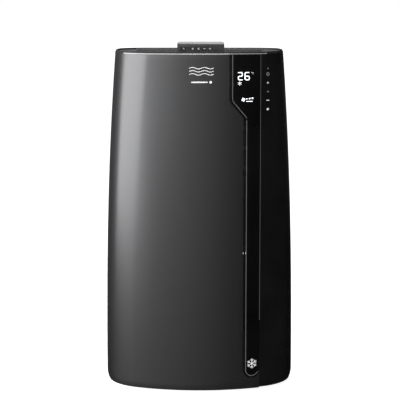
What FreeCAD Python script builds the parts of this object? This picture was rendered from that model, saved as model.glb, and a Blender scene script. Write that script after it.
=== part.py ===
import FreeCAD, Part
import math
import os
import re
import Sketcher
from FreeCAD import Placement, Rotation, Vector

# A floor-standing portable air conditioner. +X is to the machine's right-hand panel, -Y is its front,
# +Z is up. The origin lies on the floor, under the middle of the housing.

DIMENSIONS = [
    # housing
    ("half_wide", 225.0), ("depth", 395.0), ("clearance", 14.0), ("shell_top", 780.0), ("rear_rise", 2.0),
    ("side_taper", 26.0), ("front_lean", 8.0), ("rear_lean", 8.0), ("taper_power", 2.3),
    ("front_bow", 390.0), ("side_bow", 760.0), ("front_corner", 105.0), ("rear_corner", 70.0),
    ("widest_back", 250.0), ("seam_back", 262.0), ("wall", 3.0), ("gap", 0.5), ("right_lift", 1.5),
    # fascia on the front
    ("glass_left", 72.0), ("glass_corner", 676.0), ("strip_left", 105.5), ("strip_top", 636.0),
    ("strip_foot", 43.0), ("seam_side", 138.5), ("glass_foot", 608.0), ("trim_wide", 1.2),
    ("glass_round", 14.0), ("strip_round", 15.5), ("key_column", 154.5), ("key_low", 656.6),
    ("key_pitch", 19.7),
    # top deck, outlet, flap and vanes
    ("deck_drop", 2.0), ("deck_thick", 3.0), ("deck_gap", 0.9), ("outlet_back", 238.0),
    ("outlet_wide", 300.0), ("outlet_deep", 96.0), ("duct_wall", 2.5), ("frame_tall", 44.0),
    ("flap_thick", 3.0), ("flap_lift", 0.4), ("flap_lap", 8.0), ("flap_end", 0.8), ("hinge_pin", 1.1),
    ("lug", 4.0), ("running", 0.05), ("vane_count", 5), ("vane_pitch", 50.0), ("vane_tall", 26.0),
    ("vane_thick", 1.8), ("vane_hub", 3.0), ("vane_pin", 1.6), ("vane_low", 22.0), ("crank", 10.0),
    ("crank_pin", 1.2), ("link_thick", 3.0), ("link_half", 3.5), ("link_play", 0.25), ("link_rise", 1.2),
    # handset and its dock
    ("handset_side", 3.5), ("handset_back", 60.0), ("handset_wide", 106.0), ("handset_tall", 44.0),
    ("handset_thick", 11.0), ("handset_wall", 1.5), ("handset_round", 5.0), ("dock_deep", 16.0),
    ("dock_play", 0.6), ("dock_wall", 2.0), ("button_wide", 8.0), ("button_tall", 5.0),
    ("button_proud", 0.8), ("button_play", 0.25), ("button_rim", 1.0), ("button_high", 28.0),
    ("button_first", -38.5), ("button_second", -18.1), ("button_pitch", 13.0), ("board", 1.6),
    ("cell_radius", 10.0), ("cell_thick", 2.4), ("cell_high", 29.0), ("tray_reach", 32.0),
    # castors
    ("wheel_radius", 20.0), ("wheel_wide", 14.0), ("axle", 2.5), ("trail", 12.0), ("fork_plate", 2.5),
    ("fork_gap", 0.5), ("fork_cap", 13.0), ("cap_thick", 3.0), ("stem", 4.0), ("boss", 8.0), ("well", 37.0),
    ("well_wall", 2.0), ("well_top", 52.0), ("castor_front_side", 124.0), ("castor_front_back", 76.0),
    ("castor_rear_side", 146.0), ("castor_rear_back", 322.0),
    # base, partition and openings in the back
    ("pan_low", 20.0), ("pan_thick", 3.0), ("pan_rim", 76.0), ("plate", 3.0), ("partition_low", 456.0),
    ("upper_low", 492.0), ("upper_high", 704.0), ("upper_half", 148.0),
    ("lower_low", 92.0), ("lower_high", 296.0), ("lower_half", 138.0), ("slot_tall", 6.0),
    ("slot_pitch", 11.0), ("filter_thick", 5.0), ("filter_gap", 1.0), ("socket_radius", 72.0),
    ("socket_high", 378.0), ("socket_wall", 3.0), ("grip_high", 640.0), ("grip_tall", 32.0),
    ("grip_long", 84.0), ("grip_deep", 26.0), ("grip_back", 310.0), ("grip_wall", 2.0),
    ("plug", 8.0), ("plug_side", -110.0), ("plug_high", 48.0), ("gland", 8.0), ("cord_bore", 4.0),
    ("gland_side", 110.0), ("screw_head", 4.0), ("screw_shank", 1.8), ("screw_long", 14.0),
    ("screw_side", 118.0),
    # air and cooling parts
    ("coil_thick", 30.0), ("coil_gap", 5.0), ("coil_side", 4.0), ("fin", 1.0), ("fin_pitch", 9.0),
    ("fan_radius", 84.0), ("fan_wide", 56.0), ("fan_gap", 8.0), ("fan_blades", 24), ("blade", 2.0),
    ("blade_deep", 14.0), ("foot", 3.0), ("motor_radius", 44.0), ("motor_long", 62.0), ("shaft", 5.0),
    ("compressor_side", -112.0), ("compressor_back", 128.0), ("compressor_radius", 56.0),
    ("compressor_tall", 200.0), ("mount_tall", 14.0), ("accumulator_radius", 22.0),
    ("accumulator_low", 125.0), ("accumulator_tall", 130.0), ("accumulator_gap", 6.0), ("pipe", 4.0),
    ("pipe_rise", 36.0), ("pipe_side", -125.0), ("liquid_side", 120.0), ("capacitor_radius", 20.0),
    ("capacitor_tall", 84.0), ("box_left", 72.0), ("box_right", 158.0), ("box_back", 62.0),
    ("box_deep", 88.0), ("box_tall", 220.0), ("box_wall", 1.5), ("board_back", 40.0),
    ("touch_back", 84.0), ("post", 3.0),
]

doc = FreeCAD.newDocument("portable_air_conditioner")
sheet = doc.addObject("Spreadsheet::Sheet", "dims")
for row, (alias, size) in enumerate(DIMENSIONS, 1):
    sheet.set("A%d" % row, alias)
    sheet.set("B%d" % row, str(size))
    sheet.setAlias("B%d" % row, alias)
doc.recompute()
ALIASES = {alias for alias, size in DIMENSIONS}
nodes = []


# ---- expressions on the sheet ----------------------------------------------------------------------

def bound(expression):
    """The expression with each alias pointed at the sheet."""
    return re.sub(r"[a-z_]+", lambda word: ("dims." if word.group() in ALIASES else "") + word.group(),
                  str(expression))


def number(expression):
    return float(sheet.evalExpression(str(expression)))


# ---- plain solids and booleans ----------------------------------------------------------------------

def block(label, low, high):
    """A box between two corners, each given as three expressions."""
    box = doc.addObject("Part::Box", label)
    for side, axis, start, stop in zip(("Length", "Width", "Height"), "xyz", low, high):
        box.setExpression(side, bound("(%s) - (%s)" % (stop, start)))
        box.setExpression("Placement.Base." + axis, bound(start))
    return box


TURNS = {"x": Rotation(Vector(0, 1, 0), 90), "y": Rotation(Vector(1, 0, 0), -90), "z": Rotation()}


def rod(label, axis, centre, radius, start, stop):
    """A cylinder along an axis: centre holds its other two places, in the order x, y, z."""
    cylinder = doc.addObject("Part::Cylinder", label)
    cylinder.Placement = Placement(Vector(), TURNS[axis])
    cylinder.setExpression("Radius", bound(radius))
    cylinder.setExpression("Height", bound("(%s) - (%s)" % (stop, start)))
    places = list(centre)
    places.insert("xyz".index(axis), start)
    for name, place in zip("xyz", places):
        cylinder.setExpression("Placement.Base." + name, bound(place))
    return cylinder


def fuse(label, *pieces):
    whole = doc.addObject("Part::MultiFuse", label)
    whole.Shapes = list(pieces)
    return whole


def cut(label, base, *tools):
    result = doc.addObject("Part::Cut", label)
    result.Base = base
    result.Tool = tools[0] if len(tools) == 1 else fuse(label + "_tools", *tools)
    return result


def common(label, first, second):
    result = doc.addObject("Part::Common", label)
    result.Base = first
    result.Tool = second
    return result


def group(label, pieces):
    """Several separate solids that share one node."""
    result = doc.addObject("Part::Compound", label)
    result.Links = list(pieces)
    return result


def tube(label, axis, centre, radius, wall, start, stop):
    outer = rod(label + "_outer", axis, centre, "(%s) + (%s)" % (radius, wall), start, stop)
    bore = rod(label + "_bore", axis, centre, radius, "(%s) - 1" % start, "(%s) + 1" % stop)
    return cut(label, outer, bore)


def node(label, piece):
    """A finished sub-part under its own name."""
    piece.Label = label
    nodes.append(piece)
    return piece


# ---- sketches ---------------------------------------------------------------------------------------

def flat_sketch(body, name, role, level):
    """A sketch on one of the body's own planes, moved along that plane's axis to a level."""
    sketch = body.newObject("Sketcher::SketchObject", name)
    plane = next(feature for feature in body.Origin.OriginFeatures if feature.Role == role)
    sketch.AttachmentSupport = (plane, [""])
    sketch.MapMode = "FlatFace"
    sign = "-" if role == "XZ_Plane" else ""
    sketch.setExpression("AttachmentOffset.Base.z", bound("%s(%s)" % (sign, level)))
    return sketch


def pin_point(sketch, element, point, place):
    for kind, expression in zip(("DistanceX", "DistanceY"), place):
        index = sketch.addConstraint(
            Sketcher.Constraint(kind, -1, 1, element, point, number(expression)))
        sketch.setExpression("Constraints[%d]" % index, bound(expression))


def polygon(sketch, corners):
    """A closed outline of straight edges through corners given as pairs of expressions."""
    points = [Vector(number(first), number(second), 0) for first, second in corners]
    for index, point in enumerate(points):
        sketch.addGeometry(Part.LineSegment(points[index - 1], point), False)
    for index in range(len(points)):
        following = (index + 1) % len(points)
        sketch.addConstraint(Sketcher.Constraint("Coincident", index, 2, following, 1))
        pin_point(sketch, index, 2, corners[index])


def circle(sketch, centre, radius):
    place = Vector(number(centre[0]), number(centre[1]), 0)
    element = sketch.addGeometry(Part.Circle(place, Vector(0, 0, 1), number(radius)), False)
    pin_point(sketch, element, 3, centre)
    index = sketch.addConstraint(Sketcher.Constraint("Radius", element, number(radius)))
    sketch.setExpression("Constraints[%d]" % index, bound(radius))


def pad(body, sketch, name, length):
    feature = body.newObject("PartDesign::Pad", name)
    feature.Profile = sketch
    feature.setExpression("Length", bound(length))
    body.Tip = feature
    return feature


def edges_along(shape, axis, spots):
    """Names of the straight edges along an axis that pass through the given spots."""
    others = [index for index in range(3) if index != axis]
    names = []
    for index, edge in enumerate(shape.Edges, 1):
        ends = [vertex.Point for vertex in edge.Vertexes]
        if len(ends) == 2 and abs(ends[0][axis] - ends[1][axis]) > 1:
            for spot in spots:
                if all(abs(end[place] - spot[i]) < 0.01 for end in ends for i, place in enumerate(others)):
                    names.append("Edge%d" % index)
    return names


def round_edges(body, base, name, axis, spots, radius):
    doc.recompute()
    places = [tuple(number(part) for part in spot) for spot in spots]
    feature = body.newObject("PartDesign::Fillet", name)
    feature.Base = (base, edges_along(base.Shape, axis, places))
    feature.setExpression("Radius", bound(radius))
    body.Tip = feature
    return feature


# ---- the housing's form -----------------------------------------------------------------------------

LEVELS = (0.0, 0.25, 0.5, 0.75, 1.0)
REAR_TOP = "(shell_top + rear_rise)"


def tapered(base, taper, share):
    return "(%s - %s * pow(%s; taper_power))" % (base, taper, share) if share else "(%s)" % base


def meeting(first, first_radius, second, second_radius):
    """The outer meeting point of two circles on the right-hand side."""
    span = second - first
    along = (first_radius ** 2 - second_radius ** 2 + span.Length ** 2) / (2 * span.Length)
    across = math.sqrt(first_radius ** 2 - along ** 2)
    unit = span / span.Length
    sides = [first + unit * along + Vector(unit.y, -unit.x, 0) * turn * across for turn in (1, -1)]
    return max(sides, key=lambda side: side.x)


def outline(body, name, share, inset):
    """One level of the housing: a bowed front, bowed sides and a flat back, with tangent corners."""
    height = "clearance + (%s - clearance) * %s" % (REAR_TOP, share)
    sketch = flat_sketch(body, name, "XY_Plane", height)
    half = tapered("half_wide", "side_taper", share)
    front = "(-depth / 2 + %s)" % ("front_lean * pow(%s; taper_power)" % share if share else "0")
    back = tapered("depth / 2", "rear_lean", share)
    radii = {key: "(%s - %s)" % (key, inset) for key in ("front_bow", "side_bow", "front_corner",
                                                         "rear_corner")}
    size = {key: number(text) for key, text in radii.items()}
    bow = Vector(0, number(front) + number("front_bow"), 0)
    side = Vector(number(half) - number("side_bow"), number("widest_back - depth / 2"), 0)
    corner = meeting(bow, size["front_bow"] - size["front_corner"],
                     side, size["side_bow"] - size["front_corner"])
    rear_y = number(back) - number("rear_corner")
    reach = size["side_bow"] - size["rear_corner"]
    rear = Vector(side.x + math.sqrt(reach ** 2 - (rear_y - side.y) ** 2), rear_y, 0)

    def towards(centre, target, radius):
        return centre + (target - centre) / (target - centre).Length * radius

    front_end = towards(bow, corner, size["front_bow"])
    side_start = towards(side, corner, size["side_bow"])
    side_end = towards(side, rear, size["side_bow"])
    back_end = Vector(rear.x, number(back) - number(inset), 0)

    def arc(centre, radius, start, stop):
        turn = [math.atan2(end.y - centre.y, end.x - centre.x) for end in (start, stop)]
        return sketch.addGeometry(Part.ArcOfCircle(Part.Circle(centre, Vector(0, 0, 1), radius), *turn),
                                  False)

    def flip(point):
        return Vector(-point.x, point.y, 0)

    ring = [
        (arc(bow, size["front_bow"], flip(front_end), front_end), "front_bow"),
        (arc(corner, size["front_corner"], front_end, side_start), "front_corner"),
        (arc(side, size["side_bow"], side_start, side_end), "side_bow"),
        (arc(rear, size["rear_corner"], side_end, back_end), "rear_corner"),
        (sketch.addGeometry(Part.LineSegment(back_end, flip(back_end)), False), None),
        (arc(flip(rear), size["rear_corner"], flip(back_end), flip(side_end)), "rear_corner"),
        (arc(flip(side), size["side_bow"], flip(side_end), flip(side_start)), "side_bow"),
        (arc(flip(corner), size["front_corner"], flip(side_start), flip(front_end)), "front_corner"),
    ]
    for index, (element, radius) in enumerate(ring):
        following = ring[(index + 1) % len(ring)][0]
        sketch.addConstraint(Sketcher.Constraint("Tangent", element, 2, following, 1))
        if radius:
            place = sketch.addConstraint(Sketcher.Constraint("Radius", element, size[radius]))
            sketch.setExpression("Constraints[%d]" % place, bound(radii[radius]))
    centre_x = "(%s - side_bow)" % half
    pin_point(sketch, ring[0][0], 3, ("0", "%s + front_bow" % front))
    pin_point(sketch, ring[2][0], 3, (centre_x, "widest_back - depth / 2"))
    pin_point(sketch, ring[6][0], 3, ("-" + centre_x, "widest_back - depth / 2"))
    sketch.addConstraint(Sketcher.Constraint("Horizontal", ring[4][0]))
    level = "%s - %s" % (back, inset)
    place = sketch.addConstraint(Sketcher.Constraint("DistanceY", -1, 1, ring[4][0], 1, number(level)))
    sketch.setExpression("Constraints[%d]" % place, bound(level))
    return sketch


def housing_form(label, inset):
    """The whole housing as one solid, set in by an amount from its outer surface."""
    body = doc.addObject("PartDesign::Body", label)
    sketches = [outline(body, "%s_level_%d" % (label, index), share, inset)
                for index, share in enumerate(LEVELS)]
    loft = body.newObject("PartDesign::AdditiveLoft", label + "_loft")
    loft.Profile = sketches[0]
    loft.Sections = sketches[1:]
    body.Tip = loft
    return body


form_outer = housing_form("form_outer", "0")
form_inner = housing_form("form_inner", "wall")
form_deck = housing_form("form_deck", "(wall + deck_gap)")
form_pan = housing_form("form_pan", "(wall + pan_thick)")

SEAM_Y = "(seam_back - depth / 2)"
SEAM_X = "(seam_side - gap / 2)"
BEYOND = "(half_wide + depth)"
DECK_TOP = "(shell_top - deck_drop)"
DECK_LOW = "(shell_top - deck_drop - deck_thick)"


def slab(label, low, high):
    """Everything between two heights."""
    return block(label, ("-" + BEYOND, "-" + BEYOND, low), (BEYOND, BEYOND, high))


def level_share(height):
    return "(((%s) - clearance) / (%s - clearance))" % (height, REAR_TOP)


def rear_face(height):
    return "(depth / 2 - rear_lean * pow(%s; taper_power))" % level_share(height)


def half_width(height):
    return "(half_wide - side_taper * pow(%s; taper_power))" % level_share(height)


# ---- skin panels, glass and trim --------------------------------------------------------------------

def front_prism(label, corners, rounds=()):
    """A prism through the front, from an outline seen from the front, with some corners rounded."""
    body = doc.addObject("PartDesign::Body", label)
    sketch = flat_sketch(body, label + "_outline", "XZ_Plane", SEAM_Y)
    polygon(sketch, corners)
    feature = pad(body, sketch, label + "_pad", "depth")
    for index, (spots, radius) in enumerate(rounds):
        feature = round_edges(body, feature, "%s_round_%d" % (label, index), 1, spots, radius)
    return body


ABOVE = "(shell_top + depth / 4)"
HALF_TURN = "tan(atan((strip_left - glass_left) / (glass_corner - strip_top)) / 2)"


def fascia_prism(label, grow):
    """Glass and strip together, grown outwards at the left and at the foot."""
    left = "(glass_left - %s)" % grow
    inner_left = "(strip_left - %s)" % grow
    corner = "(glass_corner - %s * %s)" % (grow, HALF_TURN)
    foot = "(strip_foot - %s)" % grow
    corners = [(left, ABOVE), (left, corner), (inner_left, "strip_top - %s * %s" % (grow, HALF_TURN)),
               (inner_left, foot), (SEAM_X, foot), (SEAM_X, ABOVE)]
    rounds = [([corners[1]], "glass_round + %s" % grow), ([corners[3]], "strip_round + %s" % grow),
              ([corners[4]], "strip_round")]
    return front_prism(label, corners, rounds)


def skin_panels():
    skin = cut("skin", form_outer, form_inner)
    front = common("front_skin", skin, block("front_zone", ("-" + BEYOND, "-" + BEYOND, 0),
                                             (BEYOND, SEAM_Y, "shell_top")))
    right_side = block("right_side", (SEAM_X, "-" + BEYOND, 0), (BEYOND, BEYOND, ABOVE))
    opening = fascia_prism("fascia_opening", "(2 * gap + trim_wide)")
    node("front_panel", cut("panel_front", front, opening, right_side))
    right_zone = block("right_zone", ("seam_side + gap / 2", "-" + BEYOND, "clearance + right_lift"),
                       (BEYOND, BEYOND, ABOVE))
    node("right_panel", common("panel_right", front, right_zone))

    trim_line = cut("trim_line", fascia_prism("trim_outside", "(gap + trim_wide)"),
                    fascia_prism("trim_inside", "gap"))
    trim_end = block("trim_end", ("seam_side - gap / 2 - trim_wide", "-" + BEYOND, 0),
                     (BEYOND, BEYOND, ABOVE))
    node("fascia_trim", cut("trim", common("trim_skin", front, trim_line), trim_end))

    turn = ("strip_left", "strip_top")
    end = (SEAM_X, "glass_foot")
    glass = front_prism("glass_area", [("glass_left", ABOVE), ("glass_left", "glass_corner"), turn, end,
                                       (SEAM_X, ABOVE)],
                        [([("glass_left", "glass_corner")], "glass_round")])
    node("display_glass", common("glass", front, glass))
    foot = [("strip_left", "strip_foot"), (SEAM_X, "strip_foot")]
    strip = front_prism("strip_area", [(turn[0], "strip_top - gap"), *foot, (SEAM_X, "glass_foot - gap")],
                        [(foot, "strip_round")])
    node("fascia_strip", common("strip", front, strip))
    return skin


# ---- rear housing and what it carries ----------------------------------------------------------------

SCREW_LEVELS = ("(pan_rim + 2 * screw_head)", "(lower_high + 24)", "(partition_low + 20)",
                "(upper_high + 22)")


def window(label, half, low, high, inset="0"):
    """The space of an opening in the back wall."""
    return block(label, ("-(%s - %s)" % (half, inset), "depth / 2 - coil_thick", "%s + %s" % (low, inset)),
                 ("%s - %s" % (half, inset), "depth", "%s - %s" % (high, inset)))


def grille(label, skin, half, low, high):
    """A slotted cover that fills an opening in the back wall."""
    cover = common(label + "_cover", skin, window(label + "_fill", half, low, high, "gap"))
    count = int((number(high) - number(low) - 2 * number("slot_pitch")) // number("slot_pitch"))
    slots = []
    for index in range(count):
        start = "%s + slot_pitch * %s" % (low, index + 1)
        for side, (left, right) in enumerate((("-%s + slot_pitch" % half, "-slot_tall / 2"),
                                              ("slot_tall / 2", "%s - slot_pitch" % half))):
            slots.append(block("%s_slot_%d_%d" % (label, index, side),
                               (left, 0, start), (right, "depth", start + " + slot_tall")))
    return cut(label + "_slotted", cover, *slots)


def grip_block(label, side, inset):
    reach = "(%s - grip_deep + %s)" % (half_width("grip_high"), inset)
    ends = (reach, BEYOND) if side > 0 else ("-" + BEYOND, "-" + reach)
    middle = "(grip_back - depth / 2)"
    return block(label, (ends[0], "%s - grip_long / 2 + %s" % (middle, inset),
                         "grip_high - grip_tall / 2 + %s" % inset),
                 (ends[1], "%s + grip_long / 2 - %s" % (middle, inset),
                  "grip_high + grip_tall / 2 - %s" % inset))


def rear_parts(skin):
    zone = block("rear_zone", ("-" + BEYOND, SEAM_Y + " + gap", 0), (BEYOND, BEYOND, REAR_TOP + " + wall"))
    holes = [window("upper_window", "upper_half", "upper_low", "upper_high"),
             window("lower_window", "lower_half", "lower_low", "lower_high"),
             rod("socket_hole", "y", (0, "socket_high"), "socket_radius + socket_wall + gap / 2", 0,
                 "depth"),
             rod("plug_hole", "y", ("plug_side", "plug_high"), "plug + gap / 2", 0, "depth"),
             rod("gland_hole", "y", ("gland_side", "plug_high"), "gland", 0, "depth")]
    screws = []
    for level, height in enumerate(SCREW_LEVELS):
        for side in (-1, 1):
            tag = "screw_%d_%s" % (level, "left" if side < 0 else "right")
            place = ("%d * screw_side" % side, height)
            face = rear_face(height)
            holes.append(rod(tag + "_hole", "y", place, "screw_head + gap / 2", 0, "depth"))
            head = rod(tag + "_head", "y", place, "screw_head", face + " - wall", face + " - gap")
            shank = rod(tag + "_shank", "y", place, "screw_shank", face + " - screw_long",
                        face + " - wall / 2")
            slot = block(tag + "_slot", (place[0] + " - screw_head", face + " - 2 * gap",
                                         height + " - gap"),
                         (place[0] + " + screw_head", face, height + " + gap"))
            screws.append(cut(tag, fuse(tag + "_body", head, shank), slot))
    grips = []
    for name, side in (("left", -1), ("right", 1)):
        space = grip_block("grip_space_" + name, side, "grip_wall")
        cup = common("grip_shell_" + name, grip_block("grip_outer_" + name, side, 0), form_inner)
        grips.append(cut("grip_cup_" + name, cup, space))
        holes.append(space)
    node("side_grips", group("grip_group", grips))
    node("rear_housing", cut("rear_shell", common("rear_skin", skin, zone), *holes))
    node("rear_screws", group("rear_screw_group", screws))
    node("upper_grille", grille("upper", skin, "upper_half", "upper_low", "upper_high"))
    node("lower_grille", grille("lower", skin, "lower_half", "lower_low", "lower_high"))
    socket = tube("socket", "y", (0, "socket_high"), "socket_radius", "socket_wall", SCROLL_REAR,
                  rear_face("socket_high + socket_radius + socket_wall"))
    node("exhaust_socket", socket)
    plug_end = rear_face("plug_high") + " - gap"
    plug = rod("plug_bung", "y", ("plug_side", "plug_high"), "plug - running", plug_end + " - 3 * plug",
               plug_end)
    finger = tube("plug_finger", "y", ("plug_side", "plug_high"), "plug / 4", "plug / 4",
                  plug_end + " - plug / 2", plug_end + " + 1")
    node("drain_plug", cut("plug_cut", plug, finger))
    sleeve = rod("gland_sleeve", "y", ("gland_side", "plug_high"), "gland",
                 rear_face("plug_high") + " - 2 * gland", rear_face("plug_high") + " - gap")
    flange = rod("gland_flange", "y", ("gland_side", "plug_high"), "gland + wall",
                 rear_face("plug_high") + " - 2 * wall - pan_thick",
                 rear_face("plug_high") + " - wall - pan_thick")
    bore = rod("gland_bore", "y", ("gland_side", "plug_high"), "cord_bore", 0, "depth")
    node("cord_gland", cut("gland_piece", fuse("gland_body", sleeve, flange), bore))


def filter_piece():
    """The dust filter: a frame with bars, a fine sheet and pads that reach the grille."""
    back = "(depth / 2 - wall - rear_lean - filter_gap)"
    front = "(%s - filter_thick)" % back
    half = "(upper_half - 2 * filter_gap)"
    low = "(upper_low + 2 * filter_gap)"
    high = "(upper_high - 2 * filter_gap)"
    frame = block("filter_block", ("-" + half, front, low), (half, back, high))
    spaces = []
    for column in range(4):
        for level in range(3):
            start = ("-%s + filter_thick + 2 * %s / 4 * %d" % (half, half, column),
                     "%s + filter_thick + (%s - %s) / 3 * %d" % (low, high, low, level))
            stop = ("-%s - filter_thick / 2 + 2 * %s / 4 * %d" % (half, half, column + 1),
                    "%s - filter_thick / 2 + (%s - %s) / 3 * %d" % (low, high, low, level + 1))
            spaces.append(block("filter_space_%d_%d" % (column, level),
                                (start[0], front + " - 1", start[1]),
                                (stop[0], back + " + 1", stop[1])))
    sheet_piece = block("filter_sheet", ("-%s + 1" % half, front + " + 2", low + " + 1"),
                        (half + " - 1", front + " + 2.6", high + " - 1"))
    pads = [block("filter_pad_%d" % index, ("%d * (%s - 5) - 3" % (side, half), back, spot + " - 3"),
                  ("%d * (%s - 5) + 3" % (side, half), "depth", spot + " + 3"))
            for index, (side, spot) in enumerate(((-1, low + " + 4"), (1, low + " + 4"),
                                                  (-1, high + " - 4"), (1, high + " - 4")))]
    whole = fuse("filter_whole", cut("filter_frame", frame, *spaces), sheet_piece, *pads)
    node("dust_filter", common("filter_trimmed", whole, form_inner))


# ---- top deck, outlet, flap, vanes ------------------------------------------------------------------

OUT_FRONT = "(outlet_back - depth / 2)"
OUT_REAR = "(outlet_back + outlet_deep - depth / 2)"
OUT_HALF = "(outlet_wide / 2)"
FRAME_LOW = "(%s - frame_tall)" % DECK_LOW
HINGE_Y = "(%s + flap_lap)" % OUT_REAR
HINGE_Z = "(%s + flap_lift + flap_thick / 2)" % DECK_TOP
VANE_Z = "(%s - vane_low)" % DECK_LOW
SCROLL_FRONT = "(%s - duct_wall)" % OUT_FRONT
SCROLL_REAR = "(%s + duct_wall)" % OUT_REAR
DOCK_Y = "(handset_back - depth / 2)"
DOCK_LOW = "(%s - dock_deep)" % DECK_TOP


def outlet_box(label, grow, low, high):
    return block(label, ("-%s - %s" % (OUT_HALF, grow), "%s - %s" % (OUT_FRONT, grow), low),
                 ("%s + %s" % (OUT_HALF, grow), "%s + %s" % (OUT_REAR, grow), high))


def dock_box(label, grow, low, high):
    half_x = "(handset_wide / 2 + %s)" % grow
    half_y = "(handset_thick / 2 + %s)" % grow
    return block(label, ("handset_side - " + half_x, "%s - %s" % (DOCK_Y, half_y), low),
                 ("handset_side + " + half_x, "%s + %s" % (DOCK_Y, half_y), high))


def top_parts():
    brim = common("deck_brim", form_deck, slab("deck_upper", DECK_LOW + " + deck_thick / 2", DECK_TOP))
    ledge = common("deck_ledge", form_inner, slab("deck_lower", DECK_LOW, DECK_LOW + " + deck_thick / 2"))
    lugs = []
    for side in (-1, 1):
        near = "%d * (%s)" % (side, OUT_HALF)
        far = "%d * (%s + lug)" % (side, OUT_HALF)
        ends = (near, far) if side > 0 else (far, near)
        lugs.append(block("lug_%s" % ("left" if side < 0 else "right"),
                          (ends[0], HINGE_Y + " - lug", DECK_LOW),
                          (ends[1], HINGE_Y + " + lug / 2", HINGE_Z + " + flap_thick / 2")))
    pin_hole = rod("flap_pin_hole", "x", (HINGE_Y, HINGE_Z), "hinge_pin + running", "-" + BEYOND, BEYOND)
    node("top_deck", cut("deck", fuse("deck_whole", brim, ledge, *lugs), pin_hole,
                         outlet_box("outlet_hole", "0", FRAME_LOW, ABOVE),
                         dock_box("dock_hole", "dock_play", DOCK_LOW, ABOVE)))

    flap_half = "(%s - flap_end)" % OUT_HALF
    plate = block("flap_plate", ("-" + flap_half, "%s - flap_lap" % OUT_FRONT, DECK_TOP + " + flap_lift"),
                  (flap_half, HINGE_Y, DECK_TOP + " + flap_lift + flap_thick"))
    barrel = rod("flap_barrel", "x", (HINGE_Y, HINGE_Z), "flap_thick / 2", "-" + flap_half, flap_half)
    pins = rod("flap_pins", "x", (HINGE_Y, HINGE_Z), "hinge_pin", "-(%s + lug)" % OUT_HALF,
               OUT_HALF + " + lug")
    node("outlet_flap", fuse("flap", plate, barrel, pins))

    walls = cut("frame_walls", outlet_box("frame_outer", "duct_wall", FRAME_LOW, DECK_LOW),
                outlet_box("frame_bore", "0", FRAME_LOW + " - 1", DECK_LOW + " + 1"))
    holes = []
    for index in range(int(number("vane_count"))):
        side = vane_side(index)
        holes.append(rod("vane_hole_%d" % index, "y", (side, VANE_Z), "vane_pin + running",
                         OUT_FRONT + " - wall - duct_wall", OUT_REAR + " + wall + duct_wall"))
        vane(index, side)
    node("outlet_frame", cut("frame", walls, *holes))
    vane_link()

    cup = cut("dock_cup", dock_box("dock_outer", "(dock_play + dock_wall)", DOCK_LOW + " - dock_wall",
                                   DECK_LOW),
              dock_box("dock_space", "dock_play", DOCK_LOW, ABOVE))
    node("handset_dock", cup)


def vane_side(index):
    return "(vane_pitch * (%d - (vane_count - 1) / 2))" % index


def vane(index, side):
    """One upright vane, which swings about pins at its front and rear edges."""
    near = OUT_FRONT + " + 2 * gap"
    far = OUT_REAR + " - 2 * gap"
    notch = "(%s - 5 * link_thick)" % OUT_REAR
    blade = block("vane_blade_%d" % index, (side + " - vane_thick / 2", near, VANE_Z + " - vane_tall / 2"),
                  (side + " + vane_thick / 2", far, VANE_Z + " + vane_tall / 2"))
    space = block("vane_notch_%d" % index, (side + " - crank", notch, VANE_Z + " - vane_tall"),
                  (side + " + crank", OUT_REAR, VANE_Z + " - vane_hub"))
    hub = rod("vane_hub_%d" % index, "y", (side, VANE_Z), "vane_hub", near, far)
    pins = rod("vane_pins_%d" % index, "y", (side, VANE_Z), "vane_pin",
               OUT_FRONT + " - duct_wall", OUT_REAR + " + duct_wall")
    crank = rod("vane_crank_%d" % index, "y", (side, VANE_Z + " - crank"), "crank_pin",
                notch + " - link_thick", notch + " + 3 * link_thick")
    whole = fuse("vane_%d_whole" % index, cut("vane_%d_cut" % index, blade, space), hub, pins, crank)
    node("vane_%d" % (index + 1), whole)


def vane_link():
    """The bar that ties the vanes' cranks together."""
    notch = "(%s - 5 * link_thick)" % OUT_REAR
    low = "(%s - crank)" % VANE_Z
    reach = "(vane_pitch * (vane_count - 1) / 2 + 2 * link_half)"
    bar = block("link_bar", ("-" + reach, notch + " + link_thick", low + " - link_half"),
                (reach, notch + " + 2 * link_thick", low + " + link_half + link_rise"))
    slots = [block("link_slot_%d" % index,
                   (vane_side(index) + " - crank_pin - link_play", notch, low + " - crank_pin - link_play"),
                   (vane_side(index) + " + crank_pin + link_play", OUT_REAR,
                    low + " + crank_pin + link_play + link_rise"))
             for index in range(int(number("vane_count")))]
    node("vane_link", cut("link", bar, *slots))


# ---- handset ----------------------------------------------------------------------------------------

HAND_FRONT = "(%s - handset_thick / 2)" % DOCK_Y
HAND_REAR = "(%s + handset_thick / 2)" % DOCK_Y
HAND_LOW = "(%s + gap / 2)" % DOCK_LOW
HAND_TOP = "(%s + handset_tall)" % HAND_LOW
HAND_LEFT = "(handset_side - handset_wide / 2)"
HAND_RIGHT = "(handset_side + handset_wide / 2)"
BUTTON_Z = "(%s + button_high)" % HAND_LOW
BUTTONS = ("power_key", "mode_key", "fan_key", "minus_key", "plus_key")


def button_side(index):
    if index == 0:
        return "(handset_side + button_first)"
    return "(handset_side + button_second + button_pitch * %d)" % (index - 1)


def handset_half(label, front, rear, hollow_front, hollow_rear):
    """Half of the handset's case, with rounded corners and a hollow inside."""
    body = doc.addObject("PartDesign::Body", label)
    corners = [(HAND_LEFT, HAND_LOW), (HAND_RIGHT, HAND_LOW), (HAND_RIGHT, HAND_TOP), (HAND_LEFT, HAND_TOP)]
    sketch = flat_sketch(body, label + "_outline", "XZ_Plane", rear)
    polygon(sketch, corners)
    solid = pad(body, sketch, label + "_pad", "(%s) - (%s)" % (rear, front))
    round_edges(body, solid, label + "_round", 1, corners, "handset_round")
    hollow = block(label + "_hollow",
                   (HAND_LEFT + " + handset_wall", hollow_front, HAND_LOW + " + handset_round / 2"),
                   (HAND_RIGHT + " - handset_wall", hollow_rear, HAND_TOP + " - handset_round / 2"))
    return cut(label + "_shell", body, hollow)


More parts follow.
